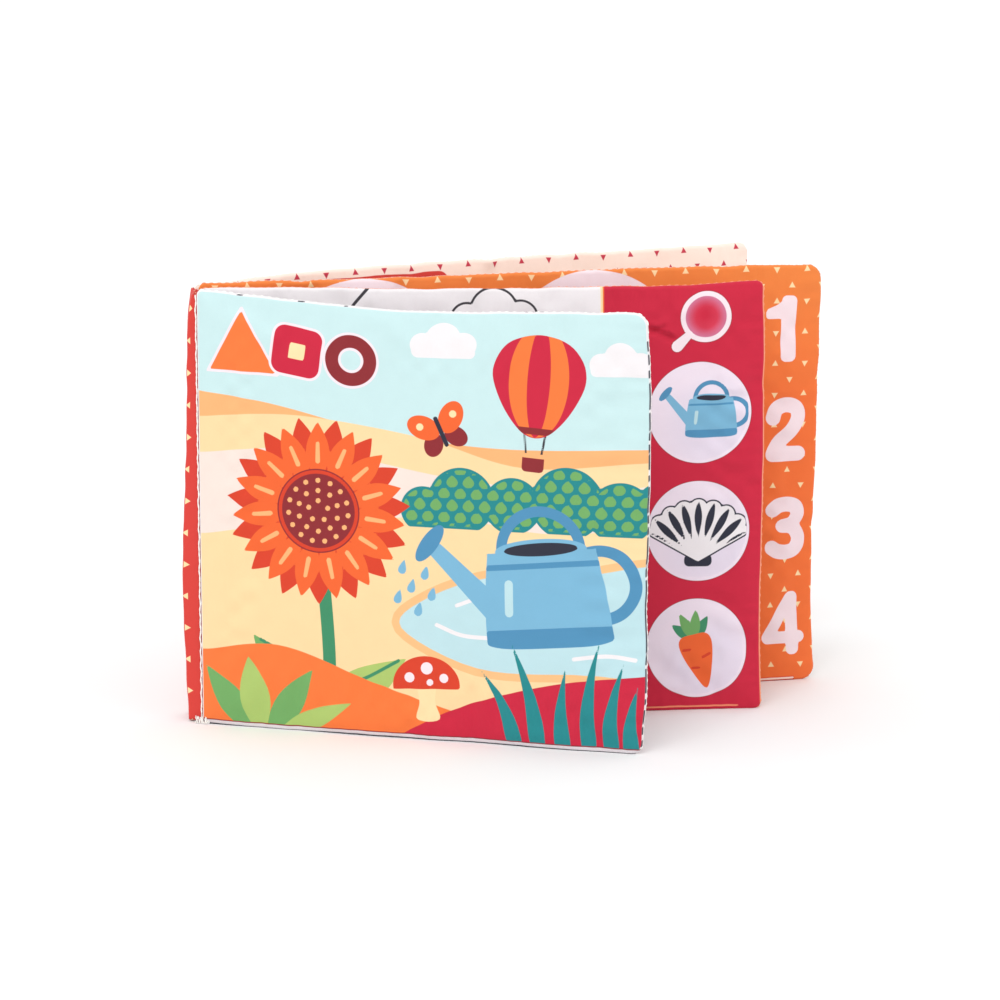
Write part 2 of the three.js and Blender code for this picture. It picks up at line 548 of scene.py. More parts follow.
class WateringCan(Motif):
    """A watering can with its spout to the left."""

    def shapes(self, pen: Pencil) -> list[tuple[Ink, Array]]:
        """A rounded body with a foot band, a tapered spout, a rose and two looped handles.

        Args:
            pen: A pencil in the picture's own axes.

        Returns:
            Inks and shapes, from the back to the front.
        """
        body = pen.patch([
            (-21, -18), (0, -19), (21, -18), (24, -12), (21, 15), (17, 18), (-17, 18), (-21, 15), (-24, -12),
        ])
        return [
            (Ink.BLUE_DEEP, pen.ring(21, 4, 13, 4.4)),
            (Ink.BLUE_DEEP, pen.ring(0, 18, 15, 4.0)),
            (Ink.BLUE, pen.bar((-17, -7), (-40, 20), 10, 6)),
            (Ink.BLUE_DEEP, pen.oval(-42.5, 23, 3.2, 8.5, -41)),
            (Ink.BLUE, body),
            (Ink.BLUE_DEEP, np.maximum(body, pen.slab(0, -16, 60, 9))),
            (Ink.BLUE_DEEP, np.maximum(body, pen.slab(0, 12.5, 60, 2.2))),
            (Ink.WATER, pen.bar((-14.5, -5), (-13.5, 6), 3.2)),
            (Ink.BLUE, pen.oval(0, 18.4, 17.5, 4.2)),
            (Ink.NIGHT, pen.oval(0, 18.6, 14, 2.5)),
        ]


class Drops(Motif):
    """Drops of water that fall from a spout."""

    def shapes(self, pen: Pencil) -> list[tuple[Ink, Array]]:
        """Each drop is a sliver with its belly low.

        Args:
            pen: A pencil in the picture's own axes.

        Returns:
            Inks and shapes, from the back to the front.
        """
        places = [(0, 0), (-6, -6), (3, -9), (-10, 2), (-3, -16), (-12, -11)]
        drops = [pen.sliver((x, z - 3), (x + 1.6, z + 3.6), 3.6, 0, 0.55) for x, z in places]
        return [(Ink.BLUE, np.minimum.reduce(drops))]


class Carrot(Motif):
    """A carrot with a tuft of leaves."""

    def shapes(self, pen: Pencil) -> list[tuple[Ink, Array]]:
        """A tapered root with three short rings, below five slivers.

        Args:
            pen: A pencil in the picture's own axes.

        Returns:
            Inks and shapes, from the back to the front.
        """
        outline = [(0, 6.5), (5.5, 6), (7, 1.5), (4.6, -8), (0, -17.5), (-4.6, -8), (-7, 1.5), (-5.5, 6)]
        root = pen.patch(outline)
        ends = [((-6, 1), (-2.5, 0.4)), ((5, -3), (1.5, -3.8)), ((-4, -7.4), (-1, -8))]
        rings = [pen.bar(start, end, 1.2) for start, end in ends]
        back = [pen.sliver((0, 4), (x, z), 4.6, 0, 0.9) for x, z in ((-8, 13), (8, 13))]
        front = [pen.sliver((0, 4), (x, z), 4.4, 0, 0.9) for x, z in ((-3.6, 17), (3.8, 17))]
        return [
            (Ink.LEAF, np.minimum.reduce(back)),
            (Ink.GREEN, np.minimum.reduce(front)),
            (Ink.FLAME, root),
            (Ink.EMBER, np.maximum(np.minimum.reduce(rings), root)),
        ]


class Shell(Motif):
    """A fan shell with dark ribs."""

    def shapes(self, pen: Pencil) -> list[tuple[Ink, Array]]:
        """A scalloped fan cut from spokes round its hinge, with a rib down each scallop.

        Args:
            pen: A pencil in the picture's own axes.

        Returns:
            Inks and shapes, from the back to the front.
        """
        hinge = pen.moved(0, -12)
        spoke = hinge.spokes(24)
        wedge = np.abs(hinge.x) * 0.5 - hinge.z * 0.87
        fan = np.maximum(np.minimum(spoke.disc(0, 22, 3.4), hinge.disc(0, 0, 22)), wedge * pen.scale)
        ribs = np.maximum(spoke.sliver((0, 8.5), (0, 25), 3.0, 0, 1.3), fan + 0.5 * pen.scale)
        foot = pen.slab(0, -11.5, 11, 5, 2)
        return [(Ink.NIGHT, foot), (Ink.NIGHT, fan - 0.6 * pen.scale), (Ink.WHITE, fan), (Ink.NIGHT, ribs)]


class Toadstool(Motif):
    """A toadstool with a spotted cap."""

    def shapes(self, pen: Pencil) -> list[tuple[Ink, Array]]:
        """A stem, a cap that is the top of an oval, and round spots.

        Args:
            pen: A pencil in the picture's own axes.

        Returns:
            Inks and shapes, from the back to the front.
        """
        cap = np.maximum(pen.oval(0, 0, 14, 12), (-1.5 - pen.z) * pen.scale)
        places = [(-7, 3.2, 2.1), (0.5, 7, 2.5), (7.5, 3, 1.9), (1.5, 1.2, 1.4)]
        spots = [pen.disc(x, z, radius) for x, z, radius in places]
        return [
            (Ink.CREAM, pen.patch([(-3.4, 0), (3.4, 0), (3.2, -7), (4.6, -14), (-4.6, -14), (-3.2, -7)])),
            (Ink.EMBER, cap),
            (Ink.BLUSH, np.maximum(np.minimum.reduce(spots), cap)),
        ]


class Balloon(Motif):
    """A balloon with a basket."""

    def shapes(self, pen: Pencil) -> list[tuple[Ink, Array]]:
        """A pear-shaped envelope with two curved gores, two ropes and a basket.

        Args:
            pen: A pencil in the picture's own axes.

        Returns:
            Inks and shapes, from the back to the front.
        """
        right = [(12.5, 15), (18, 4), (13.5, -9.5), (4.5, -20)]
        skin = pen.patch([(0, 19), *right, *((-x, z) for x, z in right[::-1])])
        ropes = np.minimum(pen.bar((-4, -20), (-3, -28), 0.9), pen.bar((4, -20), (3, -28), 0.9))
        return [
            (Ink.LINE, ropes),
            (Ink.WINE, pen.slab(0, -31, 8.5, 7, 1.6)),
            (Ink.APRICOT, pen.slab(0, -28.2, 9.4, 1.7, 0.8)),
            (Ink.CRIMSON, skin),
            (Ink.HILL, np.maximum(pen.oval(0, 1, 11.5, 22), skin)),
            (Ink.CRIMSON, np.maximum(pen.oval(0, 1, 4.4, 22), skin)),
            (Ink.WINE, np.maximum(pen.slab(0, -18.6, 30, 2.6), skin)),
        ]


class Butterfly(Motif):
    """A butterfly with open wings."""

    def shapes(self, pen: Pencil) -> list[tuple[Ink, Array]]:
        """Four ovals for the wings, with spots, and a stroke for the body.

        Args:
            pen: A pencil in the picture's own axes.

        Returns:
            Inks and shapes, from the back to the front.
        """
        half = Pencil(np.abs(pen.x), pen.z, pen.scale)
        return [
            (Ink.WINE, half.oval(4.6, -3.8, 3.6, 4.6, 38)),
            (Ink.FLAME, half.oval(5.6, 3.4, 4.4, 6.4, -48)),
            (Ink.CREAM, half.disc(6.8, 4.2, 1.4)),
            (Ink.NIGHT, pen.bar((0, -5.5), (0, 5), 1.7)),
        ]


class Cloud(Motif):
    """A small cloud."""

    def shapes(self, pen: Pencil) -> list[tuple[Ink, Array]]:
        """Three discs and a flat slab."""
        puffs = [pen.disc(-7, 0, 5), pen.disc(1, 2.5, 7), pen.disc(9, 0.5, 5), pen.slab(1, -2.6, 25, 5, 2.5)]
        return [(Ink.WHITE, np.minimum.reduce(puffs))]


class Face:
    """What is printed on one face of a leaf."""

    base = Ink.WHITE

    def paint(self, canvas: Canvas) -> None:
        """Lays this face's inks on a canvas."""


class GardenFace(Face):
    """The front cover: a garden with a flower, a watering can and a pond."""

    base = Ink.SKY

    def paint(self, canvas: Canvas) -> None:
        """Lays the ground first, then the garden, the three plain shapes and the rolled edges.

        Args:
            canvas: The printed face.
        """
        self.ground(canvas)
        self.hedge(canvas)
        self.pond(canvas)
        self.plants(canvas)
        self.plain_shapes(canvas)
        self.edges(canvas)

    def ground(self, canvas: Canvas) -> None:
        """Clouds, a balloon and three bands of sand.

        Args:
            canvas: The printed face.
        """
        pen = canvas.pencil
        canvas.picture(Cloud(98, 156, 1.0))
        canvas.picture(Cloud(166, 150, 0.9))
        canvas.paint(Ink.APRICOT, pen.below([(0, 132), (30, 129), (70, 121), (120, 116), (177, 118)]))
        canvas.paint(Ink.SAND, pen.below([(0, 122), (40, 125), (90, 119), (130, 109), (177, 113)]))
        canvas.paint(Ink.DUNE, pen.below([(0, 108), (45, 112), (100, 104), (150, 100), (177, 104)]))
        canvas.paint(Ink.SAND, pen.below([(0, 76), (50, 84), (100, 88), (140, 84), (177, 88)]))
        canvas.picture(Balloon(136, 142, 1.0, -4))

    def hedge(self, canvas: Canvas) -> None:
        """A clipped hedge across the middle, covered with rows of leaf-shaped cells.

        Args:
            canvas: The printed face.
        """
        pen = canvas.pencil
        foot = 84
        places = [(91, 91, 9), (106, 95, 13), (126, 94, 11), (147, 96, 14), (167, 93, 12), (182, 96, 10)]
        heads = [pen.disc(x, z, radius) for x, z, radius in places]
        wall = np.maximum(np.minimum.reduce(heads), foot - pen.z)
        scales = pen.moved(0, foot).rows(6.4, 4.6).sliver((0, -2.6), (0, 2.6), 4.6, 0, 0.8)
        canvas.paint(Ink.TEAL, wall)
        canvas.paint(Ink.GREEN, scales, within=wall + 1.0)

    def pond(self, canvas: Canvas) -> None:
        """A pond with ripples and reeds, and the watering can on its bank.

        Args:
            canvas: The printed face.
        """
        pen = canvas.pencil
        bank = [(82, 44), (92, 56), (118, 66), (150, 68), (190, 72), (190, 34), (150, 30), (112, 30)]
        shore = pen.patch(bank)
        canvas.paint(Ink.SAND_DEEP, shore - 3)
        canvas.paint(Ink.WATER, shore)
        ripples = [
            pen.stroke([(96, 46), (106, 42.5), (118, 42)], 1.6),
            pen.stroke([(104, 54), (113, 57.5), (121, 58)], 1.5),
            pen.stroke([(150, 36), (162, 38), (173, 37)], 1.6),
        ]
        canvas.paint(Ink.WHITE, *ripples)
        canvas.picture(Drops(91, 66, 0.9))
        canvas.picture(WateringCan(139, 59, 1.02, 6))

    def plants(self, canvas: Canvas) -> None:
        """The flower, the hills along the foot, and what grows on them.

        Args:
            canvas: The printed face.
        """
        pen = canvas.pencil
        canvas.picture(Stalk(49, 88))
        canvas.paint(Ink.HILL, pen.below([(0, 30), (32, 34), (70, 22), (104, 12), (140, 2), (177, -8)]))
        canvas.paint(Ink.CRIMSON, pen.below([(0, -30), (60, -10), (100, 12), (140, 25), (177, 31)]))
        canvas.picture(Sunflower(49, 88))
        leaves = [((24, -3), (2, 24), 11), ((27, -3), (46, 25), 11)]
        canvas.paint(Ink.GREEN, *[pen.sliver(foot, tip, wide, 0, 0.9) for foot, tip, wide in leaves])
        canvas.paint(Ink.LIME, pen.sliver((25, -4), (20, 29), 12), pen.sliver((29, -3), (62, 13), 8, 0, 0.9))
        canvas.picture(Toadstool(92, 22, 0.95, 3))
        grass = [(128, 30, -3), (137, 42, -2), (147, 33, 2), (157, 44, 3), (166, 36, 3), (174, 27, 2)]
        blades = [pen.sliver((x, -4), (x - 6 + 3 * bend, z), 6.4, bend, 0.42) for x, z, bend in grass]
        canvas.paint(Ink.TEAL, *blades)
        canvas.picture(Butterfly(98, 122, 1.05, 24))

    def plain_shapes(self, canvas: Canvas) -> None:
        """A triangle, a square and a ring along the top, each with a pale rim.

        Args:
            canvas: The printed face.
        """
        pen = canvas.pencil
        triangle = pen.moved(19, 148.5).triangle(4.6) - 3.2
        square = pen.slab(41, 150, 19, 19, 4, -9)
        ring = pen.ring(62.5, 148, 7.6, 5.2)
        for ink, shape in ((Ink.HILL, triangle), (Ink.CRIMSON, square), (Ink.WINE, ring)):
            canvas.paint(Ink.BLUSH, shape - 1.0)
            canvas.paint(ink, shape)
        canvas.paint(Ink.CREAM, square + 6.4)

    def edges(self, canvas: Canvas) -> None:
        """The back cloth that rolls over the edges with its drawn lines, the raw edge at the spine, and at
        the foot a strip of painted shade between a line of painted groove shade and a painted contact shadow.

        Args:
            canvas: The printed face.
        """
        pen = canvas.pencil
        rng = np.random.default_rng(4)
        ragged = 0.3 + 0.22 * ripple(pen.z, 3.1, rng)
        canvas.paint(Ink.WHITE, pen.x - ragged)
        corner = np.clip((pen.z - 0.9 * canvas.height) / 6, 0, 1)
        canvas.paint(Ink.WHITE, canvas.inset - 0.52 - 0.12 * corner)
        drawn = np.maximum(-0.8 - ripple(pen.z, 3.6, rng), canvas.width - 3 - pen.x)
        drawn = np.maximum(drawn, pen.z - 0.95 * canvas.height)
        sparse = np.maximum(0.5 - ripple(pen.x, 7.5, rng), canvas.height - 3 - pen.z)
        sparse = np.maximum(sparse, np.abs(pen.x - 40) - 24)
        band = np.maximum(canvas.inset - 0.58, 0.13 - canvas.inset)
        canvas.paint(Ink.NIGHT, drawn, sparse, within=band)
        # painted shade along the seam groove: a dark wine line above the foot strip
        canvas.paint(Ink.WINE, pen.z - COVER_FOOT - 0.45)
        # painted shade: the white back cloth that turns under at the foot, greyed as if in shade
        canvas.paint(Ink.SHADE, pen.z - COVER_FOOT)
        # painted contact shadow: a dark line where the foot meets the floor
        canvas.paint(Ink.NIGHT, pen.z - 0.75)


class DrawingFace(Face):
    """A white page with a garden in lines."""

    def paint(self, canvas: Canvas) -> None:
        """One large drawing that fills the page."""
        canvas.drawing(self.garden(canvas.width), self.base)

    def garden(self, width: float) -> list[list[Motif]]:
        """The pictures that are drawn on a page.

        Args:
            width: How wide the page is.

        Returns:
            Stacks of pictures, each from the back to the front.
        """
        return [
            [Balloon(width * 0.68, 136, 1.05, 6), Cloud(width - 44, 158, 1.3), Butterfly(88, 108, 1.2, -20)],
            [Stalk(40, 100, 0.9), Sunflower(40, 100, 0.9)],
            [WateringCan(width * 0.72, 52, 0.9, 4)],
            [Cloud(26, 154, 1.2)],
            [Toadstool(76, 22)],
            [Carrot(18, 24, 1.1, 12)],
            [Shell(width - 24, 20, 0.8, 10)],
        ]


class FinderFace(DrawingFace):
    """The second leaf: a drawing page, with a crimson tab that holds a magnifier and three pictures."""

    def paint(self, canvas: Canvas) -> None:
        """Lays the drawing, the tab, the magnifier, the discs and the pale seam lines.

        Args:
            canvas: The printed face.
        """
        pen = canvas.pencil
        tab = TAB_START - pen.x
        canvas.drawing(self.garden(TAB_START), self.base)
        canvas.paint(Ink.LINE, pen.stroke([(70, 176), (62, 167), (56, 160)], 1.2))
        canvas.paint(Ink.CREAM, tab - 1.4)
        canvas.paint(Ink.HILL, tab - 0.5)
        canvas.paint(Ink.CRIMSON, tab)
        self.magnifier(canvas)
        pictures = [WateringCan(DISC_X + 4.5, DISC_Z[0] - 2, 0.42), Shell(DISC_X, DISC_Z[1] - 0.5, 0.98),
                    Carrot(DISC_X, DISC_Z[2] - 0.5, 0.94, 14)]
        for z, picture in zip(DISC_Z, pictures):
            rim = pen.disc(DISC_X, z, DISC_RADIUS)
            canvas.paint(Ink.WINE, rim - 0.2, soft=0.25)
            canvas.paint(Ink.PEARL, rim)
            canvas.paint(Ink.LILAC, pen.disc(DISC_X + 5, z - 5, DISC_RADIUS - 4), within=rim + 1.0, soft=5.0)
            canvas.picture(picture, within=rim + 1.0)
        canvas.paint(Ink.SALMON, canvas.width - pen.x - 0.6)
        line = np.abs(pen.z - FOOT_ROLL + 0.6) - 0.35
        canvas.paint(Ink.SALMON, line, within=np.maximum(tab, pen.x - canvas.width + 9))

    def magnifier(self, canvas: Canvas) -> None:
        """A round lens with a soft glow, a pale rim and a short handle.

        Args:
            canvas: The printed face.
        """
        pen = canvas.pencil.moved(*LENS_PLACE)
        rim = np.minimum(pen.ring(0, 0, 8.95, 1.9), pen.bar((-6.6, -6.6), (-11.2, -11.2), 2.9, 4.4))
        canvas.paint(Ink.WINE, rim - 0.2, soft=0.25)
        canvas.paint(Ink.MAUVE, pen.disc(0, 0, 8.4))
        canvas.paint(Ink.CRIMSON_LIGHT, pen.disc(0.2, -0.2, 6.0), soft=1.9)
        canvas.paint(Ink.CRIMSON, pen.disc(-0.6, 0.8, 4.2), soft=3.0)
        canvas.paint(Ink.BLUSH, rim)


class CountingFace(Face):
    """The third leaf: four white discs to draw in, and the numbers one to four along the free edge."""

    base = Ink.ORANGE

    def paint(self, canvas: Canvas) -> None:
        """Lays a painted highlight that makes the orange lighter and yellower towards the top, then the
        triangles, the discs with one to four things to count, the numbers and the seam line.

        Args:
            canvas: The printed face.
        """
        pen = canvas.pencil
        # painted highlight: the orange grows lighter and yellower towards the top, as if lit from above
        canvas.paint(Ink.HIGHLIGHT_ORANGE, 158 - pen.z, soft=45)
        canvas.triangles(Ink.CREAM)
        (left, right), (high, low) = BIG_DISC_X, BIG_DISC_Z
        counted = [
            Sunflower(left, high, 0.8),
            *(Carrot(right + x, high, 1.2, turn) for x, turn in ((-13, 8), (13, -8))),
            Shell(left, low + 17, 0.8),
            *(Shell(left + x, low - 11, 0.8, turn) for x, turn in ((-16, 12), (16, -12))),
            *(Toadstool(right + x, low + z, 0.8) for x in (-14, 14) for z in (16, -12)),
        ]
        canvas.paint(Ink.BLUSH, *(pen.disc(x, z, BIG_DISC_RADIUS) for x in BIG_DISC_X for z in BIG_DISC_Z))
        canvas.drawing([[thing] for thing in counted], Ink.BLUSH)
        canvas.paint(Ink.BLUSH, *self.numbers(pen))
        short = pen.x - canvas.width + 9
        canvas.paint(Ink.ORANGE, pen.z - FOOT_ROLL)
        canvas.paint(Ink.EMBER, pen.z - FOOT_ROLL + 0.4, within=short)
        canvas.paint(Ink.PEACH, np.abs(pen.z - FOOT_ROLL + 1.15) - 0.42, within=short)

    def numbers(self, pen: Pencil) -> list[Array]:
        """The numbers as round-ended strokes, about 26 mm tall.

        Args:
            pen: The leaf's pencil.

        Returns:
            The strokes' signed distances.
        """
        one, two, three, four = (pen.moved(x, z) for x, z in zip(NUMBER_X, NUMBER_Z))
        flag = [(-6.4, 6.8), (-6.4, 5.4), (2.0, 5.4), (2.0, 11.8), (0.4, 11.8), (-0.2, 10.2), (-2.4, 8.4)]
        neck = [
            (-5.6, 4.8), (-4.3, 8.4), (0.2, 10), (4.5, 8.4),
            (5.2, 4.4), (2.4, -0.4), (-2.4, -4.8), (-5.4, -9.2),
        ]
        upper = [(-6.2, 7.8), (-3.4, 9.7), (0.8, 10.1), (4.4, 8.6), (4.8, 5.2), (2.6, 1.9), (-1.2, 0.9)]
        lower = [(-1.2, 0.9), (3.2, 0.1), (5.8, -4.2), (4.4, -8.6), (0.6, -10.1), (-3.6, -9.6), (-6.2, -8)]
        return [
            one.slab(1.9, 0, 6.4, 26.4, 2.2),
            one.patch(flag, smooth=False) - 1.3,
            two.stroke(neck, 6.1),
            two.bar((-5.6, -10), (5.5, -10), 6.2),
            three.stroke(upper, 6.0),
            three.stroke(lower, 6.0),
            four.slab(1.6, 0, 5.6, 26.2, 2.4),
            four.bar((-9.2, -5.7), (0.8, 10.4), 4.8),
            four.bar((-9.2, -5.8), (4.6, -5.8), 5.0),
        ]


@dataclass
class TriangleFace(Face):
    """A plain cloth with rows of small triangles.

    Attributes:
        base: The cloth's colour.
        ink: The triangles' ink.
        rim: The colour that rolls over the edges, if any.
    """

    base: Ink = Ink.PEACH
    ink: Ink = Ink.ROSE
    rim: Ink | None = None

    def paint(self, canvas: Canvas) -> None:
        """Lays the triangles, and a narrow rim where the other cloth rolls over.

        Args:
            canvas: The printed face.
        """
        canvas.triangles(self.ink)
        if self.rim is not None:
            canvas.paint(self.rim, canvas.inset - 1.6)


class DiscFace(TriangleFace):
    """A triangle cloth with four white discs to draw in."""

    def paint(self, canvas: Canvas) -> None:
        """Lays the triangles and the discs, each with one drawing.

        Args:
            canvas: The printed face.
        """
        super().paint(canvas)
        left, right = canvas.width / 2 - 48, canvas.width / 2 + 48
        high, low = BIG_DISC_Z
        discs = [canvas.pencil.disc(x, z, BIG_DISC_RADIUS) for x in (left, right) for z in (high, low)]
        things = [Balloon(left, high + 5, 1.1), Shell(right, high, 1.5), Butterfly(left, low, 2.4),
                  WateringCan(right + 5, low, 0.85)]
        canvas.paint(Ink.BLUSH, *discs)
        canvas.drawing([[thing] for thing in things], Ink.BLUSH)


class PanelFace(TriangleFace):
    """A triangle cloth with a red panel beside the spine, which frames a white page."""

    def paint(self, canvas: Canvas) -> None:
        """Lays the triangles, the panel, its page and the drawing on it.

        Args:
            canvas: The printed face.
        """
        super().paint(canvas)
        pen = canvas.pencil
        panel = pen.slab(PANEL_END / 2, PANEL_Z, PANEL_END - 10, 157.4, 4)
        page = pen.slab(PANEL_END / 2, PANEL_Z, PANEL_END - 30, 138, 8)
        canvas.paint(Ink.RED, panel)
        canvas.paint(Ink.BLUSH, page)
        canvas.drawing([[Stalk(52, 106, 0.8), Sunflower(52, 106, 0.86)], [Toadstool(78, 34, 0.8)]], Ink.BLUSH)


class Nodes:
    """A short way to add and join a material's nodes."""

    def __init__(self, name: str) -> None:
        """Makes a material with a Principled shader.

        Args:
            name: The material's name.
        """
        self.material = bpy.data.materials.new(name)
        self.material.use_nodes = True
        self.tree = self.material.node_tree
        self.shader = self.tree.nodes["Principled BSDF"]

    def add(self, kind: str, values: dict[str | int, object] | None = None,
            **settings: object) -> bpy.types.Node:
        """Adds a node.

        Args:
            kind: The node's type name.
            values: What each input takes: a number, a colour, or another node's output.
            settings: The node's own options.

        Returns:
            The new node.
        """
        node = self.tree.nodes.new(kind)
        for key, value in settings.items():
            setattr(node, key, value)
        for key, value in (values or {}).items():
            self.join(node.inputs[key], value)
        return node

    def join(self, socket: bpy.types.NodeSocket, value: object) -> None:
        """Links an output to an input, or sets the input's own value.

        Args:
            socket: The input.
            value: Another node's output, or a value.
        """
        if isinstance(value, bpy.types.NodeSocket):
            self.tree.links.new(value, socket)
        else:
            socket.default_value = value

    def maths(self, operation: str, *values: object, clamp: bool = False) -> bpy.types.NodeSocket:
        """A Math node's result."""
        node = self.add("ShaderNodeMath", dict(enumerate(values)), operation=operation, use_clamp=clamp)
        return node.outputs[0]

    def noise(self, place: bpy.types.NodeSocket, scale: float, detail: float) -> bpy.types.NodeSocket:
        """A noise texture's value."""
        values = {"Vector": place, "Scale": scale, "Detail": detail}
        return self.add("ShaderNodeTexNoise", values).outputs["Fac"]

    def inside(self, distance: object, soft: float) -> bpy.types.NodeSocket:
        """One inside a border and nought outside it, with an even change across twice the soft width."""
        return self.maths("MULTIPLY_ADD", distance, -0.5 / soft, 0.5, clamp=True)

    def mix(self, share: object, first: object, second: object, blend: str = "MIX") -> bpy.types.NodeSocket:
        """A colour mix's result.

        Args:
            share: How much of the second colour shows.
            first: The first colour.
            second: The second colour.
            blend: How they mix.

        Returns:
            The mixed colour.
        """
        node = self.add("ShaderNodeMix", data_type="RGBA", blend_type=blend)
        for socket, value in zip((node.inputs[0], node.inputs[6], node.inputs[7]), (share, first, second)):
            self.join(socket, value)
        return node.outputs[2]


@dataclass(frozen=True)
class ClothFinish:
    """A printed, brushed cloth: a plain weave under ink, with a faint sheen.

    Attributes:
        roughness: How matt the cloth is.
        specular: How much light it mirrors.
        sheen: How much its nap lights up at the edges.
        sheen_roughness: How widely that light spreads.
        thread: The weave's repeat, in millimetres.
        relief: How far the weave's bumps stand out, in millimetres.
        mottle: How much the colour changes over a few millimetres.
        cover: How much of its light the ink gives back on cloth.
    """

    roughness: float = 0.72
    specular: float = 0.3
    sheen: float = 0.12
    sheen_roughness: float = 0.45
    thread: float = 0.42
    relief: float = 0.05
    mottle: float = 0.06
    cover: float = 0.92

    def material(self, name: str, base: Ink, layers: list[Layer], word: str) -> bpy.types.Material:
        """Builds the material.

        Args:
            name: The material's name.
            base: The cloth's own colour.
            layers: The inks, from the first printed to the last.
            word: What the names of the layers' attributes start with.

        Returns:
            The material.
        """
        nodes = Nodes(name)
        place = nodes.add("ShaderNodeUVMap", uv_map="cloth").outputs[0]
        colour: object = base.linear()
        for number, layer in enumerate(layers):
            if layer.kind is Print.TRIANGLES:
                distance = self.triangles(nodes, place)
            else:
                stored = nodes.add("ShaderNodeAttribute", attribute_name=f"{word}_ink_{number}")
                distance = stored.outputs["Fac"]
            if layer.kind is Print.DRAWN:
                colour = nodes.mix(nodes.inside(distance, layer.soft), colour, layer.page.linear())
                distance = nodes.maths("SUBTRACT", nodes.maths("ABSOLUTE", distance), DRAWN_LINE / 2)
            colour = nodes.mix(nodes.inside(distance, layer.soft), colour, layer.ink.linear())
        colour = self.mottled(nodes, place, colour)
        nodes.join(nodes.shader.inputs["Base Color"], colour)
        nodes.join(nodes.shader.inputs["Normal"], self.weave(nodes, place))
        nodes.shader.inputs["Roughness"].default_value = self.roughness
        nodes.shader.inputs["Specular IOR Level"].default_value = self.specular
        nodes.shader.inputs["Sheen Weight"].default_value = self.sheen
        nodes.shader.inputs["Sheen Roughness"].default_value = self.sheen_roughness
        return nodes.material

    def triangles(self, nodes: Nodes, place: bpy.types.NodeSocket) -> bpy.types.NodeSocket:
        """How far a place lies outside the nearest of many small triangles in rows.

        The row is the height over the rows' rise, rounded. Every second row is shifted by half a pitch, and
        the cell within a row is found like the row. Every second cell points down. The distance to a triangle
        is the greater of those to its foot and to its nearer slope.

        Args:
            nodes: The material's nodes.
            place: The place on the flat cloth, in millimetres.

        Returns:
            The signed distance.
        """
        maths = nodes.maths
        flat = nodes.add("ShaderNodeSeparateXYZ", {0: place}).outputs
        height = maths("SUBTRACT", flat[1], TRIANGLE_SHIFT)
        row = maths("ROUND", maths("DIVIDE", height, TRIANGLE_RISE))
        side = maths("MULTIPLY_ADD", maths("FLOORED_MODULO", row, 2.0), -TRIANGLE_PITCH / 2, flat[0])
        column = maths("ROUND", maths("DIVIDE", side, TRIANGLE_PITCH))
        across = maths("ABSOLUTE", maths("MULTIPLY_ADD", column, -TRIANGLE_PITCH, side))
        count = maths("ADD", column, maths("FLOOR", maths("MULTIPLY", row, 0.5)))
        way = maths("MULTIPLY_ADD", maths("FLOORED_MODULO", count, 2.0), -2.0, 1.0)
        rise = maths("MULTIPLY", maths("MULTIPLY_ADD", row, -TRIANGLE_RISE, height), way)
        slope = maths("MULTIPLY_ADD", across, math.sqrt(0.75), maths("MULTIPLY", rise, 0.5))
        return maths("SUBTRACT", maths("MAXIMUM", slope, maths("MULTIPLY", rise, -1.0)), TRIANGLE_INNER)

    def mottled(self, nodes: Nodes, place: bpy.types.NodeSocket, colour: object) -> bpy.types.NodeSocket:
        """The colour, a little lighter and darker in soft patches and along single threads.

        Args:
            nodes: The material's nodes.
            place: The place on the flat cloth, in millimetres.
            colour: The printed colour.

        Returns:
            The mottled colour.
        """
        patches = nodes.noise(place, 0.12, 3.0)
        slubs = nodes.noise(place, 1.7, 2.0)
        both = nodes.maths("MULTIPLY_ADD", slubs, 0.6, patches)
        tone = nodes.maths("MULTIPLY_ADD", both, self.mottle, self.cover - 0.8 * self.mottle)
        grey = nodes.add("ShaderNodeCombineColor", {0: tone, 1: tone, 2: tone}).outputs[0]
        return nodes.mix(1.0, colour, grey, "MULTIPLY")

    def weave(self, nodes: Nodes, place: bpy.types.NodeSocket) -> bpy.types.NodeSocket:
        """The bumps of a plain weave: warp and weft waves that cross, broken by uneven threads.

        Args:
            nodes: The material's nodes.
            place: The place on the flat cloth, in millimetres.

        Returns:
            The bumped normal.
        """
        turns = 2 * math.pi / 20 / self.thread
        uneven = {"Vector": place, "Scale": turns, "Distortion": 0.6, "Detail Scale": 0.4}
        waves = [nodes.add("ShaderNodeTexWave", uneven, bands_direction=axis) for axis in ("X", "Y")]
        crossed = nodes.maths("MULTIPLY", *(wave.outputs["Fac"] for wave in waves))
        fuzz = nodes.noise(place, 0.9, 4.0)
        height = nodes.maths("ADD", crossed, fuzz)
        bump = nodes.add("ShaderNodeBump", {"Height": height, "Strength": 0.5, "Distance": self.relief * MM})
        return bump.outputs[0]


@dataclass(frozen=True)
class ThreadFinish:
    """A twisted sewing thread."""

    ink: Ink = Ink.THREAD
    roughness: float = 0.6
    sheen: float = 0.25

    def material(self, name: str) -> bpy.types.Material:
        """Builds the material, with fine fibres that slant across the thread.

        Args:
            name: The material's name.

        Returns:
            The material.
        """
        nodes = Nodes(name)
        place = nodes.add("ShaderNodeTexCoord").outputs["Object"]
        fibre = nodes.noise(place, 2600.0, 2.0)
        shade = nodes.maths("MULTIPLY_ADD", fibre, 0.3, 0.8, clamp=True)
        grey = nodes.add("ShaderNodeCombineColor", {0: shade, 1: shade, 2: shade}).outputs[0]
        nodes.join(nodes.shader.inputs["Base Color"], nodes.mix(1.0, self.ink.linear(), grey, "MULTIPLY"))
        bump = nodes.add("ShaderNodeBump", {"Height": fibre, "Strength": 0.4, "Distance": 0.05 * MM})
        nodes.join(nodes.shader.inputs["Normal"], bump.outputs[0])
        nodes.shader.inputs["Roughness"].default_value = self.roughness
        nodes.shader.inputs["Sheen Weight"].default_value = self.sheen
        return nodes.material


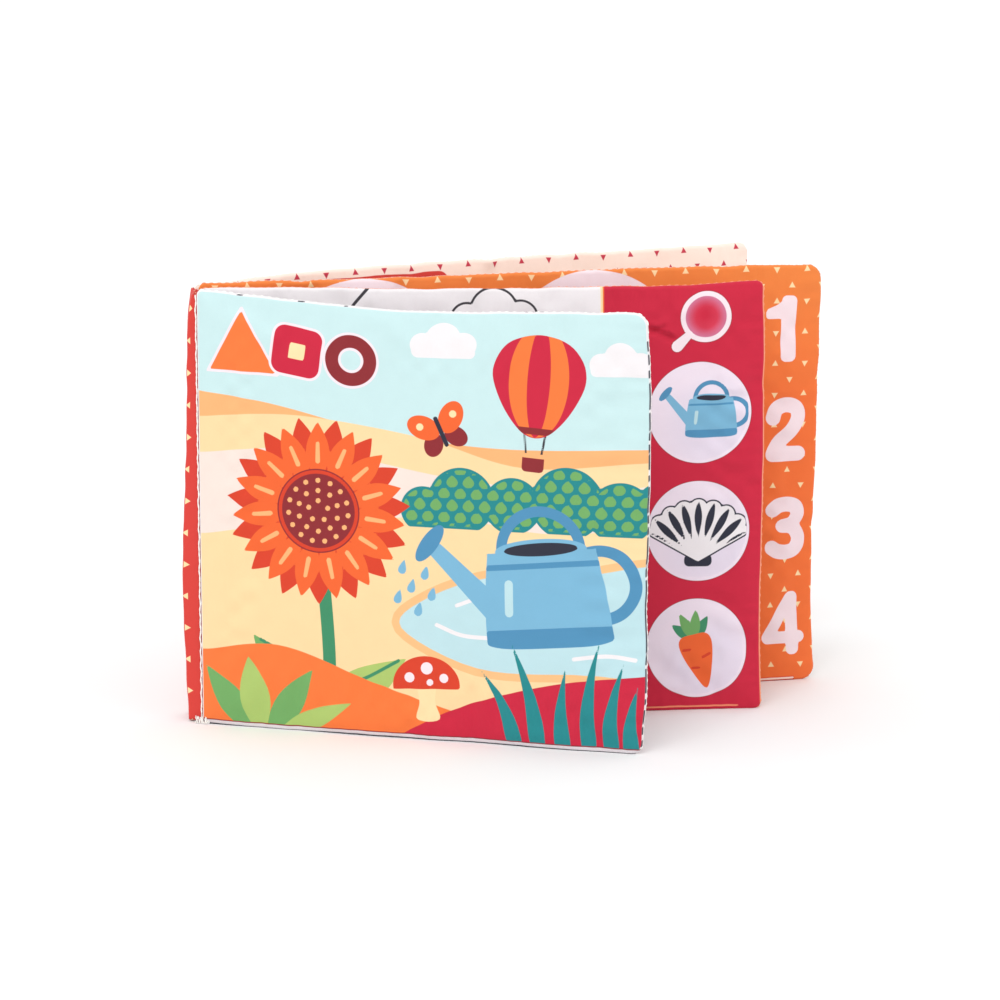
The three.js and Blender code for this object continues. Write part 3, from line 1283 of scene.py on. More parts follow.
@dataclass
class Skin:
    """A mesh in the making: points in millimetres, four-cornered faces, and what lies on them."""

    points: Array
    quads: Array
    slots: Array | None = None
    places: Array | None = None
    values: dict[str, Array] = field(default_factory=dict)

    def outward(self) -> "Skin":
        """Turns the faces round if the space that they close counts as negative.

        Returns:
            The skin itself.
        """
        a, b, c, d = (self.points[self.quads[:, k]] for k in range(4))
        volume = np.einsum("ij,ij->", a, np.cross(b, c)) + np.einsum("ij,ij->", a, np.cross(c, d))
        if volume < 0:
            self.quads = self.quads[:, ::-1]
        return self

    def dressed(self, name: str, *materials: bpy.types.Material) -> bpy.types.Object:
        """Makes the object, in metres.

        Args:
            name: The piece's name.
            materials: Its materials, in the order that the faces' slots count.

        Returns:
            The object, linked into the scene.
        """
        mesh = bpy.data.meshes.new(name)
        mesh.vertices.add(len(self.points))
        mesh.vertices.foreach_set("co", (self.points * MM).astype(np.float32).ravel())
        mesh.loops.add(self.quads.size)
        mesh.loops.foreach_set("vertex_index", self.quads.astype(np.int32).ravel())
        mesh.polygons.add(len(self.quads))
        mesh.polygons.foreach_set("loop_start", np.arange(0, self.quads.size, 4, dtype=np.int32))
        if self.slots is not None:
            mesh.polygons.foreach_set("material_index", self.slots.astype(np.int32))
        mesh.update(calc_edges=True)
        mesh.shade_smooth()
        if self.places is not None:
            layer = mesh.uv_layers.new(name="cloth")
            layer.data.foreach_set("uv", self.places[self.quads.ravel()].astype(np.float32).ravel())
        for key, value in self.values.items():
            mesh.attributes.new(key, "FLOAT", "POINT").data.foreach_set("value", value.astype(np.float32))
        for material in materials:
            mesh.materials.append(material)
        made = bpy.data.objects.new(name, mesh)
        bpy.context.scene.collection.objects.link(made)
        return made


def grid_quads(index: Array) -> Array:
    """The faces of a grid of vertex numbers, anticlockwise if its first axis points right, its second up."""
    corners = (index[:-1, :-1], index[1:, :-1], index[1:, 1:], index[:-1, 1:])
    return np.stack(corners, -1).reshape(-1, 4)


def closed_sweep(rings: Array) -> Skin:
    """A closed skin from equal rings in a row, whose ends are filled by strips between opposite sides.

    Args:
        rings: The rings' points, by ring, by place round it and by axis. A ring has an even count.

    Returns:
        The skin, with its faces outwards.
    """
    count, around = rings.shape[:2]
    index = np.arange(count * around).reshape(count, around)
    wrapped = np.concatenate([index, index[:, :1]], 1)
    near = np.arange(around // 2 - 1)
    strip = np.stack([near, near + 1, around - 2 - near, around - 1 - near], -1)
    quads = np.concatenate([grid_quads(wrapped), strip, strip[:, ::-1] + index[-1, 0]])
    return Skin(rings.reshape(-1, 3), quads).outward()


def joined(skins: list[Skin]) -> Skin:
    """Several skins as one, without what lies on them.

    Args:
        skins: The skins.

    Returns:
        One skin.
    """
    first = np.cumsum([0] + [len(skin.points) for skin in skins[:-1]])
    quads = [skin.quads + start for skin, start in zip(skins, first)]
    return Skin(np.concatenate([skin.points for skin in skins]), np.concatenate(quads))


def frayed(starts: Array, headings: Array, rng: np.random.Generator) -> Skin:
    """The frayed end of a seam: thin fibres that curl down to the floor.

    A fibre leaves its start along a heading, bends to one side by half a sine wave and falls as a parabola.
    Its round section shrinks towards the tip.

    Args:
        starts: Where the fibres start, in plan.
        headings: Their directions in plan, in radians.
        rng: The source of the draws.

    Returns:
        All the fibres as one skin.
    """
    t = np.linspace(0, 1, 10)[:, None]
    turn = np.arange(6) * math.pi / 3
    radius = 0.24 - 0.12 * t
    fibres = []
    for (x, y), heading in zip(starts, headings):
        reach, curl, height = rng.uniform(0.5, 1.7), rng.uniform(-0.8, 0.8), rng.uniform(0.4, 2.6)
        sideways = curl * np.sin(math.pi * t) + radius * np.cos(turn)
        path_x = x + reach * t * math.cos(heading) - sideways * math.sin(heading)
        path_y = y + reach * t * math.sin(heading) + sideways * math.cos(heading)
        path_z = 0.3 + height * (1 - t) ** 2 + radius * np.sin(turn)
        fibres.append(closed_sweep(np.stack([path_x, path_y, path_z], -1)))
    return joined(fibres)


def node_points(node: str) -> Array:
    """A model node's points, in millimetres.

    Args:
        node: The node's name.

    Returns:
        The points, three columns.
    """
    mesh = frame["nodes"][node].data
    points = np.empty(len(mesh.vertices) * 3, np.float32)
    mesh.vertices.foreach_get("co", points)
    return points.reshape(-1, 3).astype(float) / MM


@dataclass
class LeafPlace:
    """Where a leaf stands: the foot of its sewn edge, its direction in plan and its size, in millimetres."""

    origin: Array
    along: Array
    width: float
    height: float

    @classmethod
    def of(cls, name: str) -> "LeafPlace":
        """Reads a leaf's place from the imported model.

        The wadding and the hinge seam both lie on the leaf's middle plane, so the line between their middles
        gives its direction. The front cloth gives its extent along that line.

        Args:
            name: The leaf's name.

        Returns:
            Its place.
        """
        bead = node_points(f"{name}_hinge_seam").mean(0)
        heart = node_points(f"{name}_wadding").mean(0)
        along = (heart - bead) * (1, 1, 0)
        along /= np.linalg.norm(along)
        cloth = node_points(f"{name}_front_cloth")
        reach = (cloth - bead) @ along
        origin = (bead + reach.min() * along) * (1, 1, 0)
        return cls(origin, along, float(np.ptp(reach)), float(cloth[:, 2].max()))

    @property
    def back(self) -> Array:
        """The direction from the leaf's front to its back."""
        return np.array([-self.along[1], self.along[0], 0.0])

    def stand(self, points: Array) -> Array:
        """Carries points from the leaf's own flat frame to where it stands."""
        upright = np.array([0.0, 0.0, 1.0])
        return self.origin + points @ np.stack([self.along, self.back, upright])


@dataclass
class LeafShape:
    """The padded form of a leaf, as a function of a place on its flat cloth.

    Attributes:
        width: From the sewn edge to the free edge.
        height: From the foot to the top.
        seed: What the drawn ripples start from.
        half: Half the leaf's thickness at its middle.
        roll: How far in the rounded edge reaches, at the free edges and at the sewn edge.
        edge_half: Half the thickness where that rounding ends, at the same edges.
        crown_run: How fast the leaf swells to its full thickness.
        corners: The corner radius at the free edge and at the sewn edge.
        tops: How far the top edge lies above its even height, at even steps from the sewn to the free edge.
        sides: How far the free edge lies beyond its even width, at even steps from the foot to the top.
        edge_run: How fast both fade inwards.
        groove: How deep the seam lies in the edge.
        stitch: The seam's stitch length.
        pucker: How much the edge's thickness changes where the seam gathers it.
        wobble: How far the free edges wander.
        swell: How far the padding rises and falls.
        sewn_run: How far from the sewn edge the leaf is stitched thin.
        gather: The length of the seam's gathers, and how fast they fade inwards.
        wobble_lengths: The lengths of the free edge's and the top's wandering.
        swell_length: The length of the padding's rise and fall.
        swell_run: How far inside the outline that is full.
        proud: How far the padding may stand above its full half.
    """

    width: float
    height: float
    seed: int
    half: float = 2.5
    roll: Point = (1.7, 0.8)
    edge_half: Point = (1.5, 0.75)
    crown_run: float = 4.5
    corners: Point = (6.0, 2.5)
    tops: tuple[float, ...] = (0.0, -1.2, 0.0)
    sides: tuple[float, ...] = (0.0, 0.0, 0.0)
    edge_run: float = 25.0
    groove: float = 0.42
    stitch: float = 3.1
    pucker: float = 0.12
    wobble: float = 0.12
    swell: float = 0.16
    sewn_run: float = 14.0
    gather: Point = (5.6, 5.0)
    wobble_lengths: Point = (17.0, 19.0)
    swell_length: float = 46.0
    swell_run: float = 12.0
    proud: float = 0.3

    def lines(self, length: float, step: float, first_roll: float) -> Array:
        """Grid lines across a length: close together in the rolled edges, and even between them.

        Args:
            length: The length.
            step: The even spacing.
            first_roll: How far in the first edge's rounding reaches.

        Returns:
            The lines' places.
        """
        turn = 1 - np.cos(np.linspace(0, math.pi / 2, 6))
        near = np.append(first_roll * turn, first_roll + 0.6)
        far = length - np.append(self.roll[0] * turn, self.roll[0] + 0.6)[::-1]
        count = max(int((far[0] - near[-1]) / step), 2)
        return np.concatenate([near, np.linspace(near[-1], far[0], count + 1)[1:-1], far])

    def rounded(self, x: Array, z: Array) -> tuple[Array, Array]:
        """Carries a square grid into the outline: in each corner a square becomes a quarter disc.

        For offsets a and b from the corner's centre and the radius r, a becomes a times the root of
        one less half of b over r squared, and b likewise.

        Args:
            x: The grid's places across.
            z: The grid's places up.

        Returns:
            The places in the outline.
        """
        radius = np.where(x > self.width / 2, *self.corners)
        middle_x, middle_z = self.width / 2, self.height / 2
        a = np.maximum(np.abs(x - middle_x) - middle_x + radius, 0)
        b = np.maximum(np.abs(z - middle_z) - middle_z + radius, 0)
        inner_a = a * np.sqrt(1 - b**2 / (2 * radius**2))
        inner_b = b * np.sqrt(1 - a**2 / (2 * radius**2))
        return x + np.sign(x - middle_x) * (inner_a - a), z + np.sign(z - middle_z) * (inner_b - b)

    def inset(self, x: Array, z: Array) -> Array:
        """How far inside the outline a place lies: the distance to a rectangle with round corners.

        Args:
            x: Places across the leaf.
            z: Places up the leaf.

        Returns:
            The distance, at least nought.
        """
        radius = np.where(x > self.width / 2, *self.corners)
        side = np.abs(x - self.width / 2) - self.width / 2 + radius
        up = np.abs(z - self.height / 2) - self.height / 2 + radius
        outer = np.hypot(np.maximum(side, 0), np.maximum(up, 0))
        return np.maximum(radius - outer - np.minimum(np.maximum(side, up), 0), 0)

    def thickness(self, x: Array, inset: Array) -> Array:
        """Half the thickness: a quarter turn over the rolled edge, then a slow swell to the full half.

        Near the sewn edge both the roll and the edge are thinner, because the leaf is stitched flat there.

        Args:
            x: Places across the leaf.
            inset: How far each lies from the outline.

        Returns:
            Half the thickness at each place.
        """
        share = np.clip(x / self.sewn_run, 0, 1)
        share = share**2 * (3 - 2 * share)
        roll = self.roll[1] + (self.roll[0] - self.roll[1]) * share
        edge = self.edge_half[1] + (self.edge_half[0] - self.edge_half[1]) * share
        turn = np.arccos(1 - np.minimum(inset / roll, 1))
        swell = 1 - np.exp(-np.maximum(inset - roll, 0) / self.crown_run)
        return edge * np.sin(turn) + (self.half - edge) * swell

    def gathers(self, x: Array, z: Array, length: float, reach: float, rng: np.random.Generator) -> Array:
        """Ripples along the foot, the top and the free edge that fade away from them."""
        edges = ((z, x), (self.height - z, x), (self.width - x, z))
        return sum(np.exp(-away / reach) * ripple(along, length, rng) for away, along in edges)

    def wander(self, along: Array, length: float, heights: tuple[float, ...]) -> Array:
        """An edge's smooth wander through heights at even steps along its length."""
        knots = zip(np.linspace(0, length, len(heights)), heights)
        return np.interp(along, *smooth_path(list(knots)).T)

    def surface(self, lines_x: Array, lines_z: Array, side: int) -> tuple[Array, Array, Array]:
        """One sheet of the leaf.

        Args:
            lines_x: The grid's lines across.
            lines_z: The grid's lines up.
            side: -1 for the front sheet and 1 for the back one.

        Returns:
            The sheet's points in the leaf's frame, and each point's place on the flat cloth, across and up.
        """
        rng = np.random.default_rng(self.seed + side)
        edge_rng = np.random.default_rng(self.seed)
        flat_x, flat_z = self.rounded(*np.meshgrid(lines_x, lines_z, indexing="ij"))
        inset = self.inset(flat_x, flat_z)
        half = self.thickness(flat_x, inset)
        gathers = self.gathers(flat_x, flat_z, *self.gather, rng) * np.minimum(inset / 1.5, 1)
        half = half * (1 + self.pucker * gathers)
        fade = np.minimum(inset / self.swell_run, 1)
        half = half + self.swell * (billow(flat_x, flat_z, self.swell_length, rng) * fade - 0.5)
        half = np.where(inset > 0, np.clip(half, 0.05, self.half + self.proud), 0)
        x, z = flat_x.copy(), flat_z.copy()
        lift = self.wander(flat_x, self.width, self.tops)
        stand = self.wander(flat_z, self.height, self.sides)
        to_free, to_top = self.width - flat_x, self.height - flat_z
        stand = stand + self.wobble * ripple(flat_z, self.wobble_lengths[0], edge_rng)
        lift = lift + self.wobble * ripple(flat_x, self.wobble_lengths[1], edge_rng)
        x += np.exp(-to_free / self.edge_run) * stand
        z += np.exp(-to_top / self.edge_run) * lift
        gathered = self.groove * (0.6 + 0.4 * np.cos(2 * math.pi * (flat_x + flat_z) / self.stitch))
        seam = np.where(inset > 0, 0, gathered) * np.minimum(flat_x / 3, 1)
        x -= seam * np.clip((flat_x - self.width) / self.corners[0] + 1, 0, 1)
        off = flat_z - self.height / 2
        z -= seam * np.sign(off) * np.clip((np.abs(off) - self.height / 2) / self.corners[0] + 1, 0, 1)
        return np.stack([x, side * half, z], -1), flat_x, flat_z


@dataclass(frozen=True)
class Padding:
    """Swells a leaf's two sheets by a cloth simulation, held by the wadding and flat along the sewn edge.

    Attributes:
        step: The coarse grid's spacing.
        frames: How many frames the simulation runs.
        pressure: The pressure inside.
        mass: The weight of a point of the cloth.
        stretch: How stiff the cloth is when pulled or pressed.
        shear: How stiff it is against slanting.
        bending: How stiff it is against bending.
        shrink: How much it shrinks, negative where it grows.
        cap: The furthest that a point may move.
        held_from: How far inside the outline the wadding starts to hold.
        held_at: How far inside it holds fully.
        sewn_run: How far from the sewn edge the swelling is full.
    """

    step: float = 5.0
    frames: int = 20
    pressure: float = 4.0
    mass: float = 0.2
    stretch: float = 18.0
    shear: float = 6.0
    bending: float = 0.05
    shrink: float = -0.012
    cap: float = 0.7
    held_from: float = 9.0
    held_at: float = 26.0
    sewn_run: float = 20.0

    def swell(self, shape: LeafShape, fine_x: Array, fine_z: Array) -> dict[int, Array]:
        """Simulates a coarse copy of the leaf and carries its moves to the fine grid.

        Args:
            shape: The leaf's form.
            fine_x: The fine grid's lines across.
            fine_z: The fine grid's lines up.

        Returns:
            By side, how far each fine point moves, in millimetres.
        """
        lines_x = np.append(np.arange(0, shape.width - 3, self.step), shape.width)
        lines_z = np.append(np.arange(0, shape.height - 3, self.step), shape.height)
        sheets = {side: shape.surface(lines_x, lines_z, side) for side in (-1, 1)}
        front, back = pillow_index(len(lines_x), len(lines_z))
        points = pillow_points(sheets[-1][0], sheets[1][0])
        quads = np.concatenate([grid_quads(front), grid_quads(back)[:, ::-1]])
        inset = shape.inset(sheets[-1][1], sheets[-1][2])
        weights = np.clip((inset - self.held_from) / (self.held_at - self.held_from), 0, 1)
        weights = weights[..., None]
        moved = self.simulate(Skin(points, quads), pillow_points(weights, weights)[:, 0])
        moves = moved - points
        length = np.linalg.norm(moves, axis=1, keepdims=True)
        moves *= np.minimum(1, self.cap / np.maximum(length, 1e-9))
        sewn = np.minimum(sheets[-1][1] / self.sewn_run, 1)[..., None]
        moves *= pillow_points(sewn, sewn)
        across, up = spline_weights(lines_x, fine_x), spline_weights(lines_z, fine_z)
        sides = ((-1, front), (1, back))
        return {side: np.einsum("ai,ijk,bj->abk", across, moves[index], up) for side, index in sides}

    def simulate(self, skin: Skin, held: Array) -> Array:
        """Runs the cloth under inner pressure, without weight.

        Args:
            skin: The coarse leaf.
            held: How firmly each point is held, from 0 to 1.

        Returns:
            The points after the run, in millimetres.
        """
        pad = skin.dressed("padding_in_the_making")
        group = pad.vertex_groups.new(name="held")
        for level in np.unique(np.round(held, 1)):
            group.add(np.flatnonzero(np.round(held, 1) == level).tolist(), float(level), "REPLACE")
        cloth = pad.modifiers.new("cloth", "CLOTH").settings
        cloth.quality = 6
        cloth.mass = self.mass
        cloth.tension_stiffness = self.stretch
        cloth.compression_stiffness = self.stretch
        cloth.shear_stiffness = self.shear
        cloth.bending_stiffness = self.bending
        cloth.vertex_group_mass = "held"
        cloth.use_pressure = True
        cloth.uniform_pressure_force = self.pressure
        cloth.shrink_min = self.shrink
        cloth.effector_weights.gravity = 0
        scene = bpy.context.scene
        for number in range(1, self.frames + 1):
            scene.frame_set(number)
        done = pad.evaluated_get(bpy.context.evaluated_depsgraph_get()).to_mesh()
        points = np.empty(len(done.vertices) * 3, np.float32)
        done.vertices.foreach_get("co", points)
        mesh = pad.data
        bpy.data.objects.remove(pad)
        bpy.data.meshes.remove(mesh)
        scene.frame_set(1)
        return points.reshape(-1, 3).astype(float) / MM


def pillow_index(columns: int, rows: int) -> tuple[Array, Array]:
    """Vertex numbers of two sheets that share their rim.

    Args:
        columns: Grid lines across.
        rows: Grid lines up.

    Returns:
        The front sheet's numbers and the back sheet's, by column and row.
    """
    front = np.arange(columns * rows).reshape(columns, rows)
    back = front.copy()
    back[1:-1, 1:-1] = front.size + np.arange((columns - 2) * (rows - 2)).reshape(columns - 2, rows - 2)
    return front, back


def pillow_points(front: Array, back: Array) -> Array:
    """The values of two sheets that share their rim, in the order that their vertex numbers count."""
    return np.concatenate([front.reshape(-1, front.shape[-1]), back[1:-1, 1:-1].reshape(-1, back.shape[-1])])


def spline_weights(coarse: Array, fine: Array) -> Array:
    """How much each coarse line counts at each fine line, by Catmull-Rom weights of the four nearest.

    Args:
        coarse: The coarse lines, rising.
        fine: The fine lines.

    Returns:
        One row for each fine line and one column for each coarse line.
    """
    last = len(coarse) - 1
    place = np.interp(fine, coarse, np.arange(last + 1))
    first = np.minimum(place.astype(int), last - 1)
    t = place - first
    shares = (
        (-t + 2 * t**2 - t**3) / 2,
        1 - 2.5 * t**2 + 1.5 * t**3,
        (t + 4 * t**2 - 3 * t**3) / 2,
        (t**3 - t**2) / 2,
    )
    weights = np.zeros((len(fine), last + 1))
    for offset, share in zip((-1, 0, 1, 2), shares):
        np.add.at(weights, (np.arange(len(fine)), np.clip(first + offset, 0, last)), share)
    return weights


@dataclass
class Leaf:
    """One padded leaf with its two printed faces, its edge stitches and its hinge thread.

    Attributes:
        name: The leaf's body.
        front: What is printed on its front.
        back: What is printed on its back.
        slot: The record's material slot of its cloth.
        seed: What its drawn ripples start from.
        thread: The colour of its edge stitches.
        step: The fine grid's spacing.
        tops: How far its top lies above its even height, from the sewn to the free edge.
        sides: How far its free edge lies beyond its even width, from the foot to the top.
        corner: The radius of its free corners.
        sewn_corner: The radius of its sewn corners.
        creases: The ends, the depth and the width of each crease in the front.
        proud: How far the cloth may stand above its full half, creases and all.
        thread_radius: A stitch's radius at its middle.
        bead_radius: The hinge thread's radius.
        bead_twist: How far up one turn of its plies reaches.
        bead_start: Where it lies, counted from the sewn edge.
        bead_front: How far it lies behind the leaf's middle.
    """

    name: str
    front: Face
    back: Face
    slot: str
    seed: int
    thread: Ink
    step: float = 1.0
    tops: tuple[float, ...] = (0.0, 0.0, 0.0)
    sides: tuple[float, ...] = (0.0, 0.0, 0.0)
    corner: float = 6.0
    sewn_corner: float = 2.5
    creases: tuple[tuple[Point, Point, float, float], ...] = ()
    proud: float = 0.38
    thread_radius: float = 0.3
    bead_radius: float = 0.32
    bead_twist: float = 2.4
    bead_start: float = -0.45
    bead_front: float = 0.0

    def __post_init__(self) -> None:
        """Finds the leaf's place and form."""
        self.place = LeafPlace.of(self.name)
        self.shape = LeafShape(self.place.width, self.place.height, self.seed, tops=self.tops,
                               sides=self.sides, corners=(self.corner, self.sewn_corner))

    def build(self, cloth: ClothFinish, hinge_thread: bpy.types.Material) -> None:
        """Makes the leaf's pieces and sets them on its body.

        Args:
            cloth: The finish of both faces.
            hinge_thread: The hinge thread's material.
        """
        lines_x = self.shape.lines(self.place.width, self.step, self.shape.roll[1])
        lines_z = self.shape.lines(self.place.height, self.step, self.shape.roll[0])
        moves = Padding().swell(self.shape, lines_x, lines_z)
        sheets = {}
        for side in (-1, 1):
            points, flat_x, flat_z = self.shape.surface(lines_x, lines_z, side)
            points = points + moves[side]
            if side < 0:
                points[..., 1] += self.pressed(flat_x, flat_z)
            limit = self.shape.half + self.proud
            points[..., 1] = np.clip(points[..., 1], -limit, limit)
            points[..., 2] = np.maximum(points[..., 2], 0.0)
            sheets[side] = (points, flat_x, flat_z)
        self.pad(sheets, cloth)
        self.stitches(sheets[-1][0], ThreadFinish(self.thread).material(f"{self.name}_thread"))
        self.bead(hinge_thread)

    def pressed(self, x: Array, z: Array) -> Array:
        """The dents of the front's creases: along each line a bell-shaped valley beside a lower ridge.

        Args:
            x: Places across the leaf.
            z: Places up the leaf.

        Returns:
            How far back each place moves.
        """
        dent = np.zeros_like(x)
        for start, end, depth, width in self.creases:
            run = np.array(end) - np.array(start)
            side = ((x - start[0]) * run[1] - (z - start[1]) * run[0]) / np.hypot(*run)
            beyond = Pencil(x, z).bar(start, end, 0.0) ** 2 - side**2
            valley = np.exp(-(side / width) ** 2) - 0.5 * np.exp(-((side + 1.8 * width) / width) ** 2)
            dent += depth * valley * np.exp(-np.maximum(beyond, 0) / width**2)
        return dent * np.minimum(self.shape.inset(x, z) / 4, 1)

    def pad(self, sheets: dict[int, tuple[Array, Array, Array]], cloth: ClothFinish) -> None:
        """Joins the two sheets into one closed pad and prints both faces.

        Args:
            sheets: By side, a sheet's points and their places on the flat cloth.
            cloth: The finish of both faces.
        """
        front, back = pillow_index(*sheets[-1][1].shape)
        points = self.place.stand(pillow_points(sheets[-1][0], sheets[1][0]))
        faces = (grid_quads(front), grid_quads(back)[:, ::-1])
        slots = np.repeat((0, 1), [len(part) for part in faces])
        places = pillow_points(*(np.stack(sheets[side][1:], -1) for side in (-1, 1)))
        skin = Skin(points, np.concatenate(faces), slots, places)
        materials = []
        for side, word, face, index in ((-1, "front", self.front, front), (1, "back", self.back, back)):
            flat = sheets[side][1:]
            canvas = Canvas(Pencil(*flat), self.shape.inset(*flat), self.place.width, self.place.height)
            face.paint(canvas)
            for number, layer in enumerate(canvas.layers):
                if layer.distance is not None:
                    values = np.full(len(points), FAR_AWAY)
                    values[index] = layer.distance
                    skin.values[f"{word}_ink_{number}"] = values
            materials.append(cloth.material(f"{self.name}_{word}_print", face.base, canvas.layers, word))
        pad = skin.dressed(f"{self.name}_pad", *materials)
        self.settle(pad, self.slot, "front_cloth", "back_cloth", "wadding")

    def stitches(self, sheet: Array, thread: bpy.types.Material) -> None:
        """Short stitches in the seam along the foot, the free edge and the top.

        A stitch is a six-sided spindle: rings on an axis along the seam, whose radius follows half a circle.

        Args:
            sheet: The front sheet's points, whose rim is the seam.
            thread: The stitches' material.
        """
        rim = np.concatenate([sheet[:, 0], sheet[-1, 1:], sheet[-2::-1, -1]])
        steps = np.append(0, np.cumsum(np.linalg.norm(np.diff(rim, axis=0), axis=1)))
        count = int(steps[-1] / self.shape.stitch)
        middles = (np.arange(count) + 0.5) * steps[-1] / count
        reach = self.shape.stitch * 0.36
        along = np.linspace(-1, 1, 6)
        spots = middles[:, None] + along * reach
        axis = np.stack([np.interp(spots, steps, rim[:, k]) for k in range(3)], -1)
        heading = np.gradient(axis, axis=1)
        heading /= np.linalg.norm(heading, axis=-1, keepdims=True)
        level = np.broadcast_to((0.0, 1.0, 0.0), heading.shape)
        outward = np.cross(level, heading)
        radius = self.thread_radius * np.sqrt(1 - (0.93 * along) ** 2)
        turn = np.arange(6) * math.pi / 3
        spoke = outward[..., None, :] * np.cos(turn)[:, None] + level[..., None, :] * np.sin(turn)[:, None]
        rings = axis[..., None, :] + spoke * radius[:, None, None]
        rings[..., 2] = np.maximum(rings[..., 2], 0.02)
        one = closed_sweep(self.place.stand(rings[0]))
        points = self.place.stand(rings.reshape(-1, 3))
        quads = (one.quads + len(one.points) * np.arange(count)[:, None, None]).reshape(-1, 4)
        made = Skin(points, quads).outward().dressed(f"{self.name}_edge_stitches", thread)
        self.settle(made, "thread", "edge_seam")

    def bead(self, thread: bpy.types.Material) -> None:
        """The hinge thread: two twisted plies, a round section with two lobes that turns as it rises.

        Args:
            thread: The thread's material.
        """
        low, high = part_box(f"{self.name}_hinge_seam")
        rise = np.linspace(low.z, high.z, 420) / MM
        turn = np.arange(10) * 2 * math.pi / 10
        twist = 2 * math.pi * rise[:, None] / self.bead_twist
        lobes = self.bead_radius * (0.8 + 0.2 * np.cos(2 * (turn - twist / 2)))
        wander = 0.12 * ripple(rise, 6.0, np.random.default_rng(self.seed + 40))[:, None]
        x = self.bead_start + wander + lobes * np.cos(turn)
        y = self.bead_front + lobes * np.sin(turn)
        rings = np.stack([x, y, np.broadcast_to(rise[:, None], x.shape)], -1)
        made = closed_sweep(self.place.stand(rings)).dressed(f"{self.name}_hinge_thread", thread)
        self.settle(made, "thread", "hinge_seam")

    def settle(self, piece: bpy.types.Object, slot: str, *nodes: str) -> None:
        """Sets a piece on the leaf's body, in place of some of its nodes.

        Args:
            piece: The piece.
            slot: The record's material slot; not used.
            nodes: What it stands for, without the leaf's name.
        """
        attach(piece, self.name)
        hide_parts(*(f"{self.name}_{node}" for node in nodes))
        LOG.info("%s: %d faces", piece.name, len(piece.data.polygons))


